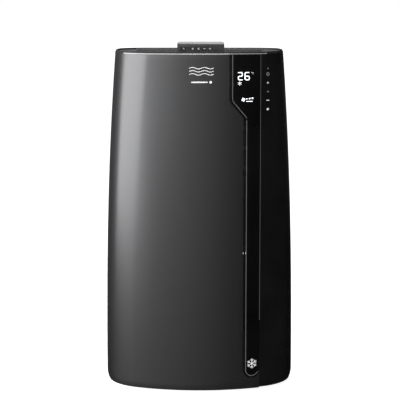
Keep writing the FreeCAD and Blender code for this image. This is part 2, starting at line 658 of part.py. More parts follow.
def handset():
    middle = DOCK_Y
    front = handset_half("handset_face", HAND_FRONT, middle + " - gap / 5",
                         HAND_FRONT + " + handset_wall", middle)
    openings = []
    inside = "(%s + handset_wall)" % HAND_FRONT
    for index, name in enumerate(BUTTONS):
        side = button_side(index)
        half_x = "button_wide / 2"
        half_z = "button_tall / 2"
        openings.append(block(name + "_opening",
                              (side + " - %s - button_play" % half_x, HAND_FRONT + " - 1",
                               BUTTON_Z + " - %s - button_play" % half_z),
                              (side + " + %s + button_play" % half_x, inside + " + 1",
                               BUTTON_Z + " + %s + button_play" % half_z)))
        stem = block(name + "_stem", (side + " - " + half_x, HAND_FRONT + " - button_proud",
                                      BUTTON_Z + " - " + half_z),
                     (side + " + " + half_x, inside + " + button_rim", BUTTON_Z + " + " + half_z))
        flange = block(name + "_flange",
                       (side + " - %s - button_rim" % half_x, inside + " + gap / 10",
                        BUTTON_Z + " - %s - button_rim" % half_z),
                       (side + " + %s + button_rim" % half_x, inside + " + button_rim",
                        BUTTON_Z + " + %s + button_rim" % half_z))
        node(name, fuse(name + "_whole", stem, flange))
    node("handset_front", cut("handset_front_cut", front, *openings))

    rear = handset_half("handset_back", middle, HAND_REAR, middle + " - 1", HAND_REAR + " - handset_wall")
    cell_x = "(%s - tray_reach / 2 - gap)" % HAND_RIGHT
    cell_z = "(%s + cell_high)" % HAND_LOW
    tray_half = "(cell_radius + handset_wall)"
    tray_front = "(%s + gap + board / 4)" % middle
    tray_rear = "(%s + cell_thick + 2 * gap)" % tray_front
    slot = block("tray_slot", (HAND_RIGHT + " - tray_reach - gap", tray_front + " - gap / 2",
                               "%s - %s - gap / 2" % (cell_z, tray_half)),
                 (HAND_RIGHT + " + 1", tray_rear + " + gap / 2", "%s + %s + gap / 2" % (cell_z, tray_half)))
    bar = block("tray_bar", (HAND_RIGHT + " - tray_reach", tray_front, "%s - %s" % (cell_z, tray_half)),
                (HAND_RIGHT, tray_rear, "%s + %s" % (cell_z, tray_half)))
    seat = rod("tray_seat", "y", (cell_x, cell_z), "cell_radius + gap / 2", tray_front + " - 1",
               tray_rear + " - gap")
    cell = rod("coin_cell", "y", (cell_x, cell_z), "cell_radius", tray_rear + " - gap - cell_thick",
               tray_rear + " - gap")
    node("cell_tray", group("tray_and_cell", (cut("tray", bar, seat), cell)))
    board_rear = "(%s - gap)" % middle
    key_board = block("key_board", (HAND_LEFT + " + handset_wall", board_rear + " - board / 2",
                                    HAND_LOW + " + handset_round"),
                      (HAND_RIGHT + " - handset_wall", board_rear, HAND_TOP + " - handset_round"))
    node("handset_rear", group("rear_and_board", (cut("handset_rear_cut", rear, slot), key_board)))


# ---- base, castors, plates ---------------------------------------------------------------------------

CASTORS = {
    "front_left": ("-castor_front_side", "(castor_front_back - depth / 2)"),
    "front_right": ("castor_front_side", "(castor_front_back - depth / 2)"),
    "rear_left": ("-castor_rear_side", "(castor_rear_back - depth / 2)"),
    "rear_right": ("castor_rear_side", "(castor_rear_back - depth / 2)"),
}


def base_pan():
    tray = cut("pan_tray", common("pan_outer", form_inner, slab("pan_band", "pan_low", "pan_rim")),
               common("pan_inner", form_pan, slab("pan_space", "pan_low + pan_thick", "pan_rim + 1")))
    added = [tray]
    removed = []
    for name, place in CASTORS.items():
        added.append(rod("well_wall_" + name, "z", place, "well + well_wall", "pan_low",
                         "well_top + well_wall"))
        added.append(rod("well_boss_" + name, "z", place, "boss", "well_top", "pan_rim"))
        removed.append(rod("well_space_" + name, "z", place, "well", "0", "well_top"))
        removed.append(rod("stem_hole_" + name, "z", place, "stem + running", "0", "pan_rim + 1"))
    spout_end = "depth / 2 - wall - gap / 5"
    added.append(rod("spout", "y", ("plug_side", "plug_high"), "plug + pan_thick",
                     spout_end + " - 3 * plug",
                     spout_end))
    removed.append(rod("spout_bore", "y", ("plug_side", "plug_high"), "plug", spout_end + " - 4 * plug",
                       "depth"))
    removed.append(rod("gland_pass", "y", ("gland_side", "plug_high"), "gland + gap / 5",
                       "depth / 2 - 4 * gland", "depth"))
    node("base_pan", cut("pan", fuse("pan_whole", *added), *removed))


def castor(name, place):
    side, back = place
    axle_y = "(%s + trail)" % back
    top = "(well_top - gap)"
    cheeks = []
    for turn in (-1, 1):
        body = doc.addObject("PartDesign::Body", "cheek_%s_%s" % (name, "left" if turn < 0 else "right"))
        inner = "(%s + %d * (wheel_wide / 2 + fork_gap))" % (side, turn)
        start = inner if turn > 0 else "(%s - fork_plate)" % inner
        sketch = flat_sketch(body, body.Name + "_outline", "YZ_Plane", start)
        polygon(sketch, [(back + " - fork_cap / 2", top + " - cap_thick"),
                         (back + " + fork_cap / 2", top + " - cap_thick"),
                         (axle_y + " + 2 * axle", "wheel_radius"), (axle_y + " - 2 * axle",
                                                                    "wheel_radius")])
        pad(body, sketch, body.Name + "_pad", "fork_plate")
        eye = rod(body.Name + "_eye", "x", (axle_y, "wheel_radius"), "2 * axle", start,
                  start + " + fork_plate")
        cheeks.extend((body, eye))
    cap = rod("cap_" + name, "z", place, "fork_cap", top + " - cap_thick", top)
    stem = rod("stem_" + name, "z", place, "stem", top + " - 1", "pan_rim - gap")
    hole = rod("axle_hole_" + name, "x", (axle_y, "wheel_radius"), "axle + running", side + " - boss * 4",
               side + " + boss * 4")
    node("castor_fork_" + name, cut("fork_" + name, fuse("fork_whole_" + name, cap, stem, *cheeks), hole))

    body = doc.addObject("PartDesign::Body", "tread_" + name)
    sketch = flat_sketch(body, body.Name + "_section", "XY_Plane", "0")
    half = "wheel_wide / 2"
    polygon(sketch, [("-" + half, "0"), (half, "0"), (half, "wheel_radius - axle / 2"),
                     (half + " - axle / 2", "wheel_radius"), ("-%s + axle / 2" % half, "wheel_radius"),
                     ("-" + half, "wheel_radius - axle / 2")])
    turned = body.newObject("PartDesign::Revolution", body.Name + "_turned")
    turned.Profile = sketch
    turned.ReferenceAxis = (sketch, ["H_Axis"])
    turned.Angle = 360
    body.Tip = turned
    for axis, expression in zip("xyz", (side, axle_y, "wheel_radius")):
        body.setExpression("Placement.Base." + axis, bound(expression))
    reach = "(wheel_wide / 2 + fork_gap + fork_plate)"
    axle = rod("axle_" + name, "x", (axle_y, "wheel_radius"), "axle", "%s - %s" % (side, reach),
               "%s + %s" % (side, reach))
    node("castor_wheel_" + name, fuse("wheel_" + name, body, axle))


def plates():
    node("chassis_plate", common("chassis", form_inner, slab("chassis_band", "pan_rim", "pan_rim + plate")))
    floor = common("partition_floor", form_inner,
                   slab("partition_band", "partition_low", "partition_low + plate"))
    passes = [rod("suction_pass", "z", ("pipe_side", "compressor_back - depth / 2"), "pipe + gap / 2",
                  "0", ABOVE),
              rod("liquid_pass", "z", ("liquid_side", COIL_MIDDLE), "pipe + gap / 2", "0", ABOVE)]
    node("partition", cut("partition_plate", floor, *passes))


# ---- air and cooling parts ---------------------------------------------------------------------------

COIL_FRONT = "(%s + coil_gap)" % SCROLL_REAR
COIL_MIDDLE = "(%s + coil_thick / 2)" % COIL_FRONT
CHASSIS_TOP = "(pan_rim + plate)"
PARTITION_TOP = "(partition_low + plate)"
DRUM = "(fan_radius + fan_gap + duct_wall)"
LOWER_FAN_Z = "(%s + foot + %s)" % (CHASSIS_TOP, DRUM)
UPPER_FAN_Z = "(%s + foot + %s)" % (PARTITION_TOP, DRUM)


def coil(label, half, low, high):
    """A finned coil: upright fins between two end plates, with tubes through them all."""
    half = "(%s + coil_side)" % half
    count = int(2 * number(half) // number("fin_pitch"))
    pieces = []
    for index in range(count + 1):
        start = "-%s + (2 * %s - fin) * %d / %d" % (half, half, index, count)
        pieces.append(block("%s_fin_%d" % (label, index), (start, COIL_FRONT, low),
                            (start + " + fin", COIL_FRONT + " + coil_thick", high)))
    rows = 5
    for row in range(rows):
        for turn in (1, 3):
            place = ("%s + coil_thick * %d / 4" % (COIL_FRONT, turn),
                     "%s + (%s - %s) * %s" % (low, high, low, (row + 0.5) / rows))
            pieces.append(rod("%s_tube_%d_%d" % (label, row, turn), "x", place, "pipe", "-" + half, half))
    node(label, fuse(label + "_whole", *pieces))


def fan_wheel(label, height):
    """A centrifugal wheel with its shaft, turned about an axis that runs front to back."""
    body = doc.addObject("PartDesign::Body", label + "_wheel")
    back = flat_sketch(body, label + "_plate_sketch", "XZ_Plane", "blade")
    circle(back, ("0", "0"), "fan_radius")
    pad(body, back, label + "_plate", "blade")
    ring = flat_sketch(body, label + "_ring_sketch", "XZ_Plane", "fan_wide")
    circle(ring, ("0", "0"), "fan_radius")
    circle(ring, ("0", "0"), "fan_radius - blade_deep")
    hub = flat_sketch(body, label + "_hub_sketch", "XZ_Plane", "fan_wide / 2")
    circle(hub, ("0", "0"), "3 * shaft")
    pad(body, hub, label + "_hub", "fan_wide / 2 - blade / 2")
    blade = flat_sketch(body, label + "_blade_sketch", "XZ_Plane", "fan_wide - blade / 2")
    polygon(blade, [("fan_radius - blade_deep + gap", "-blade / 2"), ("fan_radius - gap", "-blade / 2"),
                    ("fan_radius - gap", "blade / 2"), ("fan_radius - blade_deep + gap", "blade / 2")])
    first = pad(body, blade, label + "_blade", "fan_wide - blade")
    doc.recompute()
    pattern = body.newObject("PartDesign::PolarPattern", label + "_blades")
    pattern.Originals = [first]
    axis = next(feature for feature in body.Origin.OriginFeatures if feature.Role == "Y_Axis")
    pattern.Axis = (axis, [""])
    pattern.Angle = 360
    pattern.Occurrences = int(number("fan_blades"))
    body.Tip = pattern
    pad(body, ring, label + "_ring", "blade")
    start = "(%s + fan_gap + duct_wall)" % SCROLL_FRONT
    body.setExpression("Placement.Base.y", bound(start))
    body.setExpression("Placement.Base.z", bound(height))
    shaft = rod(label + "_shaft", "y", (0, height), "shaft", SCROLL_FRONT + " - motor_long / 2",
                start + " + fan_wide / 3")
    node(label, fuse(label + "_whole", body, shaft))


def scroll(label, height, duct_half, duct_low, duct_high, floor, outlet):
    """A drum round a fan wheel with a duct on top; the rear face is open at the wheel's eye."""
    def form(name, inset, extra):
        drum = rod("%s_%s_drum" % (label, name), "y", (0, height), "%s - %s" % (DRUM, inset),
                   "%s + %s" % (SCROLL_FRONT, inset), "%s - %s" % (SCROLL_REAR, inset))
        duct = block("%s_%s_duct" % (label, name),
                     ("-(%s - %s)" % (duct_half, inset), "%s + %s" % (SCROLL_FRONT, inset), duct_low),
                     ("%s - %s" % (duct_half, inset), "%s - %s" % (SCROLL_REAR, inset),
                      "%s + %s" % (duct_high, extra)))
        return [drum, duct]

    outer = form("outer", "0", "0")
    foot = block(label + "_foot", ("-%s / 2" % DRUM, SCROLL_FRONT, floor),
                 ("%s / 2" % DRUM, SCROLL_REAR, "%s - %s * 0.8" % (height, DRUM)))
    inner = form("inner", "duct_wall", "1" if outlet is None else "-duct_wall")
    eye = rod(label + "_eye", "y", (0, height), "fan_radius - blade_deep", OUT_FRONT + " + outlet_deep / 2",
              SCROLL_REAR + " + 1")
    shaft_hole = rod(label + "_shaft_hole", "y", (0, height), "2 * shaft", SCROLL_FRONT + " - 1",
                     OUT_FRONT + " + outlet_deep / 2")
    tools = inner + [eye, shaft_hole] + ([outlet] if outlet else [])
    node(label, cut(label + "_hollow", fuse(label + "_solid", *outer, foot), *tools))


def motor(label, height):
    can = rod(label + "_can", "y", (0, height), "motor_radius", SCROLL_FRONT + " - motor_long",
              SCROLL_FRONT)
    bore = rod(label + "_bore", "y", (0, height), "shaft + running", SCROLL_FRONT + " - motor_long + wall",
               SCROLL_FRONT + " + 1")
    nose = rod(label + "_nose", "y", (0, height), "motor_radius / 2", SCROLL_FRONT + " - motor_long - wall",
               SCROLL_FRONT + " - motor_long / 2")
    node(label, cut(label + "_whole", fuse(label + "_body", can, nose), bore))


def pipe_run(label, points):
    """A pipe of straight legs along the axes, with a ball at each turn."""
    pieces = []
    for index, (start, stop) in enumerate(zip(points, points[1:])):
        axis = next(place for place in range(3) if start[place] != stop[place])
        ends = sorted((start[axis], stop[axis]), key=number)
        centre = [part for place, part in enumerate(start) if place != axis]
        pieces.append(rod("%s_leg_%d" % (label, index), "xyz"[axis], centre, "pipe", *ends))
    for index, point in enumerate(points[1:-1]):
        ball = doc.addObject("Part::Sphere", "%s_turn_%d" % (label, index))
        ball.setExpression("Radius", bound("pipe"))
        for axis, place in zip("xyz", point):
            ball.setExpression("Placement.Base." + axis, bound(place))
        pieces.append(ball)
    return fuse(label + "_whole", *pieces) if len(pieces) > 1 else pieces[0]


def cooling_parts():
    coil("condenser_coil", "lower_half", CHASSIS_TOP, "(lower_high + coil_side)")
    coil("evaporator_coil", "upper_half", PARTITION_TOP, "(upper_high + coil_side)")
    socket_pass = rod("lower_outlet", "y", (0, "socket_high"), "socket_radius - duct_wall",
                      OUT_FRONT + " + outlet_deep / 2", SCROLL_REAR + " + 1")
    scroll("condenser_scroll", LOWER_FAN_Z, "(socket_radius + duct_wall)", LOWER_FAN_Z,
           "(socket_high + socket_radius + duct_wall)", CHASSIS_TOP, socket_pass)
    scroll("evaporator_scroll", UPPER_FAN_Z, "(%s + duct_wall)" % OUT_HALF,
           "(%s - %s)" % (FRAME_LOW, DRUM), FRAME_LOW, PARTITION_TOP, None)
    for name, height in (("condenser", LOWER_FAN_Z), ("evaporator", UPPER_FAN_Z)):
        fan_wheel(name + "_fan", height)
        motor(name + "_motor", height)

    place = ("compressor_side", "(compressor_back - depth / 2)")
    low = "(%s + mount_tall)" % CHASSIS_TOP
    top = "(%s + compressor_tall)" % low
    shell = rod("compressor_shell", "z", place, "compressor_radius", low, top + " - compressor_radius / 2")
    dome = doc.addObject("Part::Ellipsoid", "compressor_dome")
    dome.setExpression("Radius1", bound("compressor_radius / 2"))
    dome.setExpression("Radius2", bound("compressor_radius"))
    dome.setExpression("Radius3", bound("compressor_radius"))
    dome.Angle1 = 0
    for axis, expression in zip("xyz", (*place, top + " - compressor_radius / 2")):
        dome.setExpression("Placement.Base." + axis, bound(expression))
    node("compressor", fuse("compressor_whole", shell, dome))
    mounts = []
    for index, angle in enumerate((90, 210, 330)):
        spot = ("%s + compressor_radius * 0.7 * cos(%d deg)" % (place[0], angle),
                "%s + compressor_radius * 0.7 * sin(%d deg)" % (place[1], angle))
        mounts.append(rod("mount_%d" % index, "z", spot, "mount_tall / 2", CHASSIS_TOP, low))
    node("compressor_mounts", group("mount_group", mounts))

    store_x = "(compressor_side + compressor_radius + accumulator_gap + accumulator_radius)"
    store_top = "(accumulator_low + accumulator_tall)"
    can = rod("store_can", "z", (store_x, place[1]), "accumulator_radius", "accumulator_low", store_top)
    strap = block("store_strap", ("compressor_side + compressor_radius + gap", place[1] + " - pipe",
                                  "accumulator_low + accumulator_tall / 3"),
                  (store_x, place[1] + " + pipe", "accumulator_low + accumulator_tall / 2"))
    node("accumulator", fuse("store", can, strap))

    turn = "(%s - 2 * pipe_rise)" % "partition_low"
    rise = "(%s + pipe_rise / 2)" % PARTITION_TOP
    suction = pipe_run("suction_pipe", [(store_x, place[1], store_top), (store_x, place[1], turn),
                                        ("pipe_side", place[1], turn), ("pipe_side", place[1], rise),
                                        ("pipe_side", COIL_FRONT, rise)])
    over = "(%s + pipe_rise)" % top
    discharge = pipe_run("discharge_pipe", [(place[0], place[1], top), (place[0], place[1], over),
                                            (place[0], COIL_MIDDLE, over),
                                            (place[0], COIL_MIDDLE, "(lower_high + coil_side)")])
    liquid = pipe_run("liquid_pipe", [("liquid_side", COIL_MIDDLE, "(lower_high + coil_side)"),
                                      ("liquid_side", COIL_MIDDLE, PARTITION_TOP)])
    node("refrigerant_pipes", group("pipe_group", (suction, discharge, liquid)))


def electric_parts():
    near = "(box_back - depth / 2)"
    outer = block("box_outer", ("box_left", near, CHASSIS_TOP), ("box_right", near + " + box_deep",
                                                                CHASSIS_TOP + " + box_tall"))
    inner = block("box_inner", ("box_left + box_wall", near + " + box_wall", CHASSIS_TOP + " + box_wall"),
                  ("box_right - box_wall", near + " + box_deep - box_wall",
                   CHASSIS_TOP + " + box_tall - box_wall"))
    card = block("control_card", ("box_left + 4 * box_wall", near + " + box_deep / 2",
                                  CHASSIS_TOP + " + box_wall"),
                 ("box_right - 4 * box_wall", near + " + box_deep / 2 + board",
                  CHASSIS_TOP + " + box_tall - 4 * box_wall"))
    relay = block("control_relay", ("box_left + box_deep / 4", near + " + box_deep / 4",
                                    CHASSIS_TOP + " + box_tall / 3"),
                  ("box_left + box_deep / 2", near + " + box_deep / 2", CHASSIS_TOP + " + box_tall / 2"))
    boards = fuse("control_board", card, relay)
    node("control_box", group("box_and_board", (cut("box", outer, inner), boards)))
    middle = ("(box_left + box_right) / 2", near + " + box_deep + capacitor_radius + pipe")
    can = rod("capacitor_can", "z", middle, "capacitor_radius", CHASSIS_TOP,
              CHASSIS_TOP + " + capacitor_tall")
    tabs = block("capacitor_tabs", (middle[0] + " - pipe", middle[1] + " - gap",
                                    CHASSIS_TOP + " + capacitor_tall"),
                 (middle[0] + " + pipe", middle[1] + " + gap",
                  CHASSIS_TOP + " + capacitor_tall + 2 * pipe"))
    node("run_capacitor", fuse("capacitor", can, tabs))

    for label, left, right, low, high, back in (
            ("display_board", "glass_left + 6", "seam_side - 4", "glass_foot + 42", "shell_top - 16",
             "(board_back - depth / 2)"),
            ("touch_board", "seam_side + 6", "key_column + 10", "key_low - 10", "shell_top - 24",
             "(touch_back - depth / 2)")):
        card = block(label + "_card", (left, back, low), (right, back + " + board", high))
        posts = [rod("%s_post_%d_%d" % (label, row, column), "y", (side, level), "post", "-depth", back)
                 for row, level in enumerate((low + " + 2 * post", high + " - 2 * post"))
                 for column, side in enumerate((left + " + post", right + " - post"))]
        pieces = [common(label + "_trimmed", fuse(label + "_whole", card, *posts), form_inner)]
        if label == "display_board":
            lamp_low = "(key_low + 3 * key_pitch)"
            pieces.append(block("lamp_block",
                                ("glass_left + 15", "board_back - depth / 2 - post", lamp_low),
                                ("seam_side - 16", "board_back - depth / 2",
                                 lamp_low + " + 1.6 * key_pitch")))
        node(label, group(label + "_group", pieces))
    pump = block("pump_body", ("-pan_rim / 2", "0", "pan_low + pan_thick"),
                 ("pan_rim / 2", "pan_rim / 2", "pan_rim - pan_low"))
    stub = rod("pump_stub", "y", (0, "pan_rim / 2"), "pipe", "pan_rim / 2", "pan_rim")
    node("condensate_pump", fuse("pump", pump, stub))


housing_skin = skin_panels()
rear_parts(housing_skin)
filter_piece()
top_parts()
handset()
base_pan()
for castor_name, castor_place in CASTORS.items():
    castor(castor_name, castor_place)
plates()
cooling_parts()
electric_parts()
doc.recompute()

for feature in doc.Objects:
    if {"Invalid", "Error"} & set(feature.State):
        raise RuntimeError("%s failed: %s" % (feature.Name, feature.State))
os.makedirs("parts", exist_ok=True)
for piece in nodes:
    shape = piece.Shape
    if shape.isNull() or not shape.isValid() or not shape.Solids:
        raise RuntimeError("%s has no valid solid" % piece.Label)
    shape.exportStep("parts/%s.step" % piece.Label)
    print("%-26s %2d solid(s) %12.0f mm3" % (piece.Label, len(shape.Solids), shape.Volume))
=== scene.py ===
# %% [markdown]
# # A portable air conditioner
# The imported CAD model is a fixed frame: its nodes say where every piece sits and how it moves. In these
# cells the panels that people see are modelled again with soft edges, holes and marks, and every node
# that stays gets a finish of its own. All sizes are in metres.

# %% Load the frame
import math
import bpy
from mathutils import Matrix, Vector


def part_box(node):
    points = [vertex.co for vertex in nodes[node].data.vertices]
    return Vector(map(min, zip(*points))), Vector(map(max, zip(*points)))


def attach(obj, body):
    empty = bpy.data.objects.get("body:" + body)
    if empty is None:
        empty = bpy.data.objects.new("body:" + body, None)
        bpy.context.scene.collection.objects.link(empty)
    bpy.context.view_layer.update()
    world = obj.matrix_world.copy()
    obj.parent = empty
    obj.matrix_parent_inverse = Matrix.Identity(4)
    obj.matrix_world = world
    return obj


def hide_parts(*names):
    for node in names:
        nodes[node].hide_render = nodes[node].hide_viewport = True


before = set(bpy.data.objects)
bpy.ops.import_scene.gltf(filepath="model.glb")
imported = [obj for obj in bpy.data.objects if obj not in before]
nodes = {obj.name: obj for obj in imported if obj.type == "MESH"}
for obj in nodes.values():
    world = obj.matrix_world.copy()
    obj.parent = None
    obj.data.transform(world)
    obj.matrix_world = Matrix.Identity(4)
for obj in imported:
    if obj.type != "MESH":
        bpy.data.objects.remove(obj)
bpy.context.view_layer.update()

# %% [markdown]
# Operators act on whatever is selected, and the loaded nodes are selected. So each new piece starts from
# an empty selection, and a small set of helpers keeps the way of working the same for all of them: add a
# primitive, shape it in edit mode, apply its modifiers, and leave the object at the origin.

# %% Helpers for modelling
def clear():
    """Nothing selected, no active piece."""
    bpy.ops.object.select_all(action="DESELECT")
    bpy.context.view_layer.objects.active = None


def take(*pieces):
    """Selects pieces; the last one becomes active."""
    clear()
    for piece in pieces:
        piece.select_set(True)
    bpy.context.view_layer.objects.active = pieces[-1]
    return pieces[-1]


def named(name):
    """Names the primitive that was just added, with its place moved into its mesh."""
    piece = bpy.context.active_object
    piece.name = name
    piece.data.name = name
    bpy.ops.object.transform_apply(location=True, rotation=True, scale=True)
    return piece


def modify(piece, kind, **settings):
    """Adds a modifier and applies it."""
    take(piece)
    bpy.ops.object.modifier_add(type=kind)
    modifier = piece.modifiers[-1]
    for key, value in settings.items():
        setattr(modifier, key, value)
    bpy.ops.object.modifier_apply(modifier=modifier.name)
    return piece


def pick_faces(piece, test):
    """Selects the faces whose centre and normal pass a test, in face mode."""
    take(piece)
    bpy.ops.object.mode_set(mode="EDIT")
    bpy.ops.mesh.select_mode(type="FACE")
    bpy.ops.mesh.select_all(action="DESELECT")
    bpy.ops.object.mode_set(mode="OBJECT")
    for face in piece.data.polygons:
        face.select = bool(test(face.center, face.normal))
    bpy.ops.object.mode_set(mode="EDIT")


def enter_edit(piece):
    """Edit mode, with the whole piece selected."""
    take(piece)
    bpy.ops.object.mode_set(mode="EDIT")
    bpy.ops.mesh.select_all(action="SELECT")


def leave_edit():
    bpy.ops.object.mode_set(mode="OBJECT")


def turn_outwards():
    """Turns all faces of the piece in edit mode outwards, then leaves edit mode."""
    bpy.ops.mesh.select_all(action="SELECT")
    bpy.ops.mesh.normals_make_consistent(inside=False)
    leave_edit()


def thicken(piece, way):
    """Draws a flat piece out along a way, which makes a closed solid."""
    enter_edit(piece)
    bpy.ops.mesh.extrude_region_move(TRANSFORM_OT_translate={"value": way})
    turn_outwards()
    return piece


def extruded(name, outline, way):
    """A solid whose foot is an outline of points in space."""
    clear()
    bpy.ops.mesh.primitive_circle_add(vertices=len(outline), radius=1, fill_type="NGON")
    piece = named(name)
    for vertex, point in zip(piece.data.vertices, outline):
        vertex.co = point
    return thicken(piece, way)


def cut_by(piece, *tools, how="DIFFERENCE"):
    """Cuts a piece by other shapes, which are then removed."""
    for tool in tools:
        modify(piece, "BOOLEAN", operation=how, solver="EXACT", object=tool)
        bpy.data.objects.remove(tool)
    return piece


def soften(piece, width=0.0005, segments=2, angle=35):
    """Rounds the sharp edges, then shades smoothly up to an angle."""
    modify(piece, "BEVEL", width=width, segments=segments, limit_method="ANGLE",
           angle_limit=math.radians(angle), use_clamp_overlap=True)
    take(piece)
    bpy.ops.object.shade_smooth_by_angle(angle=math.radians(angle))
    return piece


def joined(name, pieces):
    """Several meshes made one piece."""
    take(*pieces)
    if len(pieces) > 1:
        bpy.ops.object.join()
    piece = bpy.context.active_object
    piece.name = name
    return piece


def middle_of(low, high):
    return [(a + b) / 2 for a, b in zip(low, high)]


def cuboid(name, low, high):
    clear()
    bpy.ops.mesh.primitive_cube_add(size=1, location=middle_of(low, high),
                                    scale=[b - a for a, b in zip(low, high)])
    return named(name)


def cylinder(name, centre, radius, depth, axis="y", vertices=48):
    clear()
    turn = {"x": (0, math.pi / 2, 0), "y": (math.pi / 2, 0, 0), "z": (0, 0, 0)}[axis]
    bpy.ops.mesh.primitive_cylinder_add(vertices=vertices, radius=radius, depth=depth, location=centre,
                                        rotation=turn)
    return named(name)


def show_as(piece, body, material, slot, *replaced):
    """Hands a finished piece over: its finish, its body and the CAD nodes that it stands for."""
    piece.data.materials.clear()
    piece.data.materials.append(material)
    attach(piece, body)
    if replaced:
        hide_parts(*replaced)
    print(piece.name, len(piece.data.polygons), "faces on", body)
    return piece


# %% [markdown]
# ## The housing's form
# Seen from above, the housing is a ring of tangent arcs: a bowed front, two corners, bowed sides, two
# rear corners and a flat back. It tapers towards the top. A formula for that ring, taken by distance
# travelled along it, lets a flat grid be bent round the machine like sheet plastic in a mould, so every
# panel shares one surface and the seams line up.

# %% The ring of arcs at a height
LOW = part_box("front_panel")[0].z
FRONT_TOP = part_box("front_panel")[1].z
REAR_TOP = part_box("rear_housing")[1].z
SEAM_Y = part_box("right_panel")[1].y
SEAM_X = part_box("display_glass")[1].x
FRONT_Y, BACK_Y, HALF_WIDE = -0.1975, 0.1975, 0.225
SIDE_TAPER, LEAN, POWER = 0.026, 0.008, 2.3
FRONT_BOW, SIDE_BOW, FRONT_CORNER, REAR_CORNER = 0.390, 0.760, 0.105, 0.070
WIDEST_Y = FRONT_Y + 0.250
WALL = 0.003
GAP = 0.0005


def meeting(first, first_radius, second, second_radius):
    """The right-hand meeting point of two circles."""
    span = second - first
    along = (first_radius ** 2 - second_radius ** 2 + span.length_squared) / (2 * span.length)
    across = math.sqrt(first_radius ** 2 - along ** 2)
    unit = span.normalized()
    sides = [first + unit * along + Vector((unit.y, -unit.x)) * turn * across for turn in (1, -1)]
    return max(sides, key=lambda side: side.x)


ring_cache = {}


def ring(height):
    """The right half of the ring: arcs as (centre, radius, first angle, last angle), and its length."""
    key = round(height, 6)
    if key not in ring_cache:
        share = ((height - LOW) / (REAR_TOP - LOW)) ** POWER if height > LOW else 0.0
        half = HALF_WIDE - SIDE_TAPER * share
        bow = Vector((0, FRONT_Y + LEAN * share + FRONT_BOW))
        side = Vector((half - SIDE_BOW, WIDEST_Y))
        back = BACK_Y - LEAN * share
        corner = meeting(bow, FRONT_BOW - FRONT_CORNER, side, SIDE_BOW - FRONT_CORNER)
        rear_y = back - REAR_CORNER
        reach = SIDE_BOW - REAR_CORNER
        rear = Vector((side.x + math.sqrt(reach ** 2 - (rear_y - side.y) ** 2), rear_y))
        first = math.atan2(corner.y - bow.y, corner.x - bow.x)
        second = math.atan2(corner.y - side.y, corner.x - side.x)
        third = math.atan2(rear.y - side.y, rear.x - side.x)
        arcs = [(bow, FRONT_BOW, -math.pi / 2, first), (corner, FRONT_CORNER, first, second),
                (side, SIDE_BOW, second, third), (rear, REAR_CORNER, third, math.pi / 2)]
        lengths = [radius * (stop - start) for centre, radius, start, stop in arcs]
        ring_cache[key] = (arcs, lengths, rear.x, back, sum(lengths) + rear.x)
    return ring_cache[key]


def skin_point(height, travel, inset=0.0):
    """The point at a distance along the ring, from the front's middle; travel is negative to the left."""
    arcs, lengths, flat_end, back, total = ring(height)
    mirror = 1
    if travel < 0:
        travel, mirror = -travel, -1
    if travel > total:
        travel, mirror = 2 * total - travel, -mirror
    for (centre, radius, start, stop), length in zip(arcs, lengths):
        if travel <= length:
            angle = start + travel / radius
            reach = radius - inset
            x = mirror * (centre.x + reach * math.cos(angle))
            return Vector((x, centre.y + reach * math.sin(angle), height))
        travel -= length
    return Vector((mirror * (flat_end - travel), back - inset, height))


def travel_where(height, axis, target):
    """How far round the right half x or y first reaches a value."""
    near, far = 0.0, sum(ring(height)[1])
    if axis == 0:
        far = sum(ring(height)[1][:2])
    for step in range(40):
        middle = (near + far) / 2
        if skin_point(height, middle)[axis] < target:
            near = middle
        else:
            far = middle
    return (near + far) / 2


def front_point(x, z):
    """The point on the front's skin straight behind (x, z)."""
    return Vector((x, skin_point(z, travel_where(z, 0, abs(x))).y, z))


print("ring length at the floor", round(2 * ring(LOW)[4], 4))

# %% [markdown]
# A grid primitive is bent onto the ring between two limits of travel, given a wall with Solidify, and cut
# with prisms. That is how the real panels are made too: one moulded skin, trimmed at its seams.

# %% Bend a sheet, and make prisms to trim it with
def skin_sheet(name, start, stop, low, high, columns, rows, thickness=WALL, proud=0.0, crown=0.0):
    """A wall between two travel limits, each a function of the height; crown rounds its top."""
    clear()
    bpy.ops.mesh.primitive_grid_add(x_subdivisions=columns, y_subdivisions=rows, size=1)
    sheet = named(name)
    limits = {}
    for vertex in sheet.data.vertices:
        z = low + (vertex.co.y + 0.5) * (high - low)
        if round(z, 6) not in limits:
            limits[round(z, 6)] = (start(z), stop(z))
        first, last = limits[round(z, 6)]
        vertex.co = skin_point(z, first + (vertex.co.x + 0.5) * (last - first), -proud)
    modify(sheet, "SOLIDIFY", thickness=thickness, offset=-1, use_even_offset=True)
    if crown:
        pick_faces(sheet, lambda centre, facing: centre.z > high - 0.0001 and facing.z > 0.9)
        bpy.ops.mesh.region_to_loop()
        bpy.ops.mesh.bevel(offset=crown, segments=4, clamp_overlap=True)
        leave_edit()
    return sheet


def rounded(corners, steps=8):
    """Points round a polygon whose corners are (x, z, radius)."""
    points = []
    for index, (x, z, radius) in enumerate(corners):
        here = Vector((x, z))
        before = (Vector(corners[index - 1][:2]) - here).normalized()
        after = (Vector(corners[(index + 1) % len(corners)][:2]) - here).normalized()
        if radius <= 0:
            points.append(here)
            continue
        half = before.angle(after) / 2
        centre = here + (before + after).normalized() * radius / math.sin(half)
        first = here + before * radius / math.tan(half) - centre
        turn = first.angle_signed(here + after * radius / math.tan(half) - centre)
        for step in range(steps + 1):
            spoke = first.copy()
            spoke.rotate(Matrix.Rotation(-turn * step / steps, 2))
            points.append(centre + spoke)
    return points


def prism(name, points, near, far):
    """A straight prism from near to far along Y, from an outline of (x, z) points."""
    return extruded(name, [(x, near, z) for x, z in points], (0, far - near, 0))


def box_prism(name, left, right, low, high, near, far, radius=0.0):
    corners = [(left, low, radius), (right, low, radius), (right, high, radius), (left, high, radius)]
    return prism(name, rounded(corners), near, far)


def left_seam(height):
    return -travel_where(height, 1, SEAM_Y)


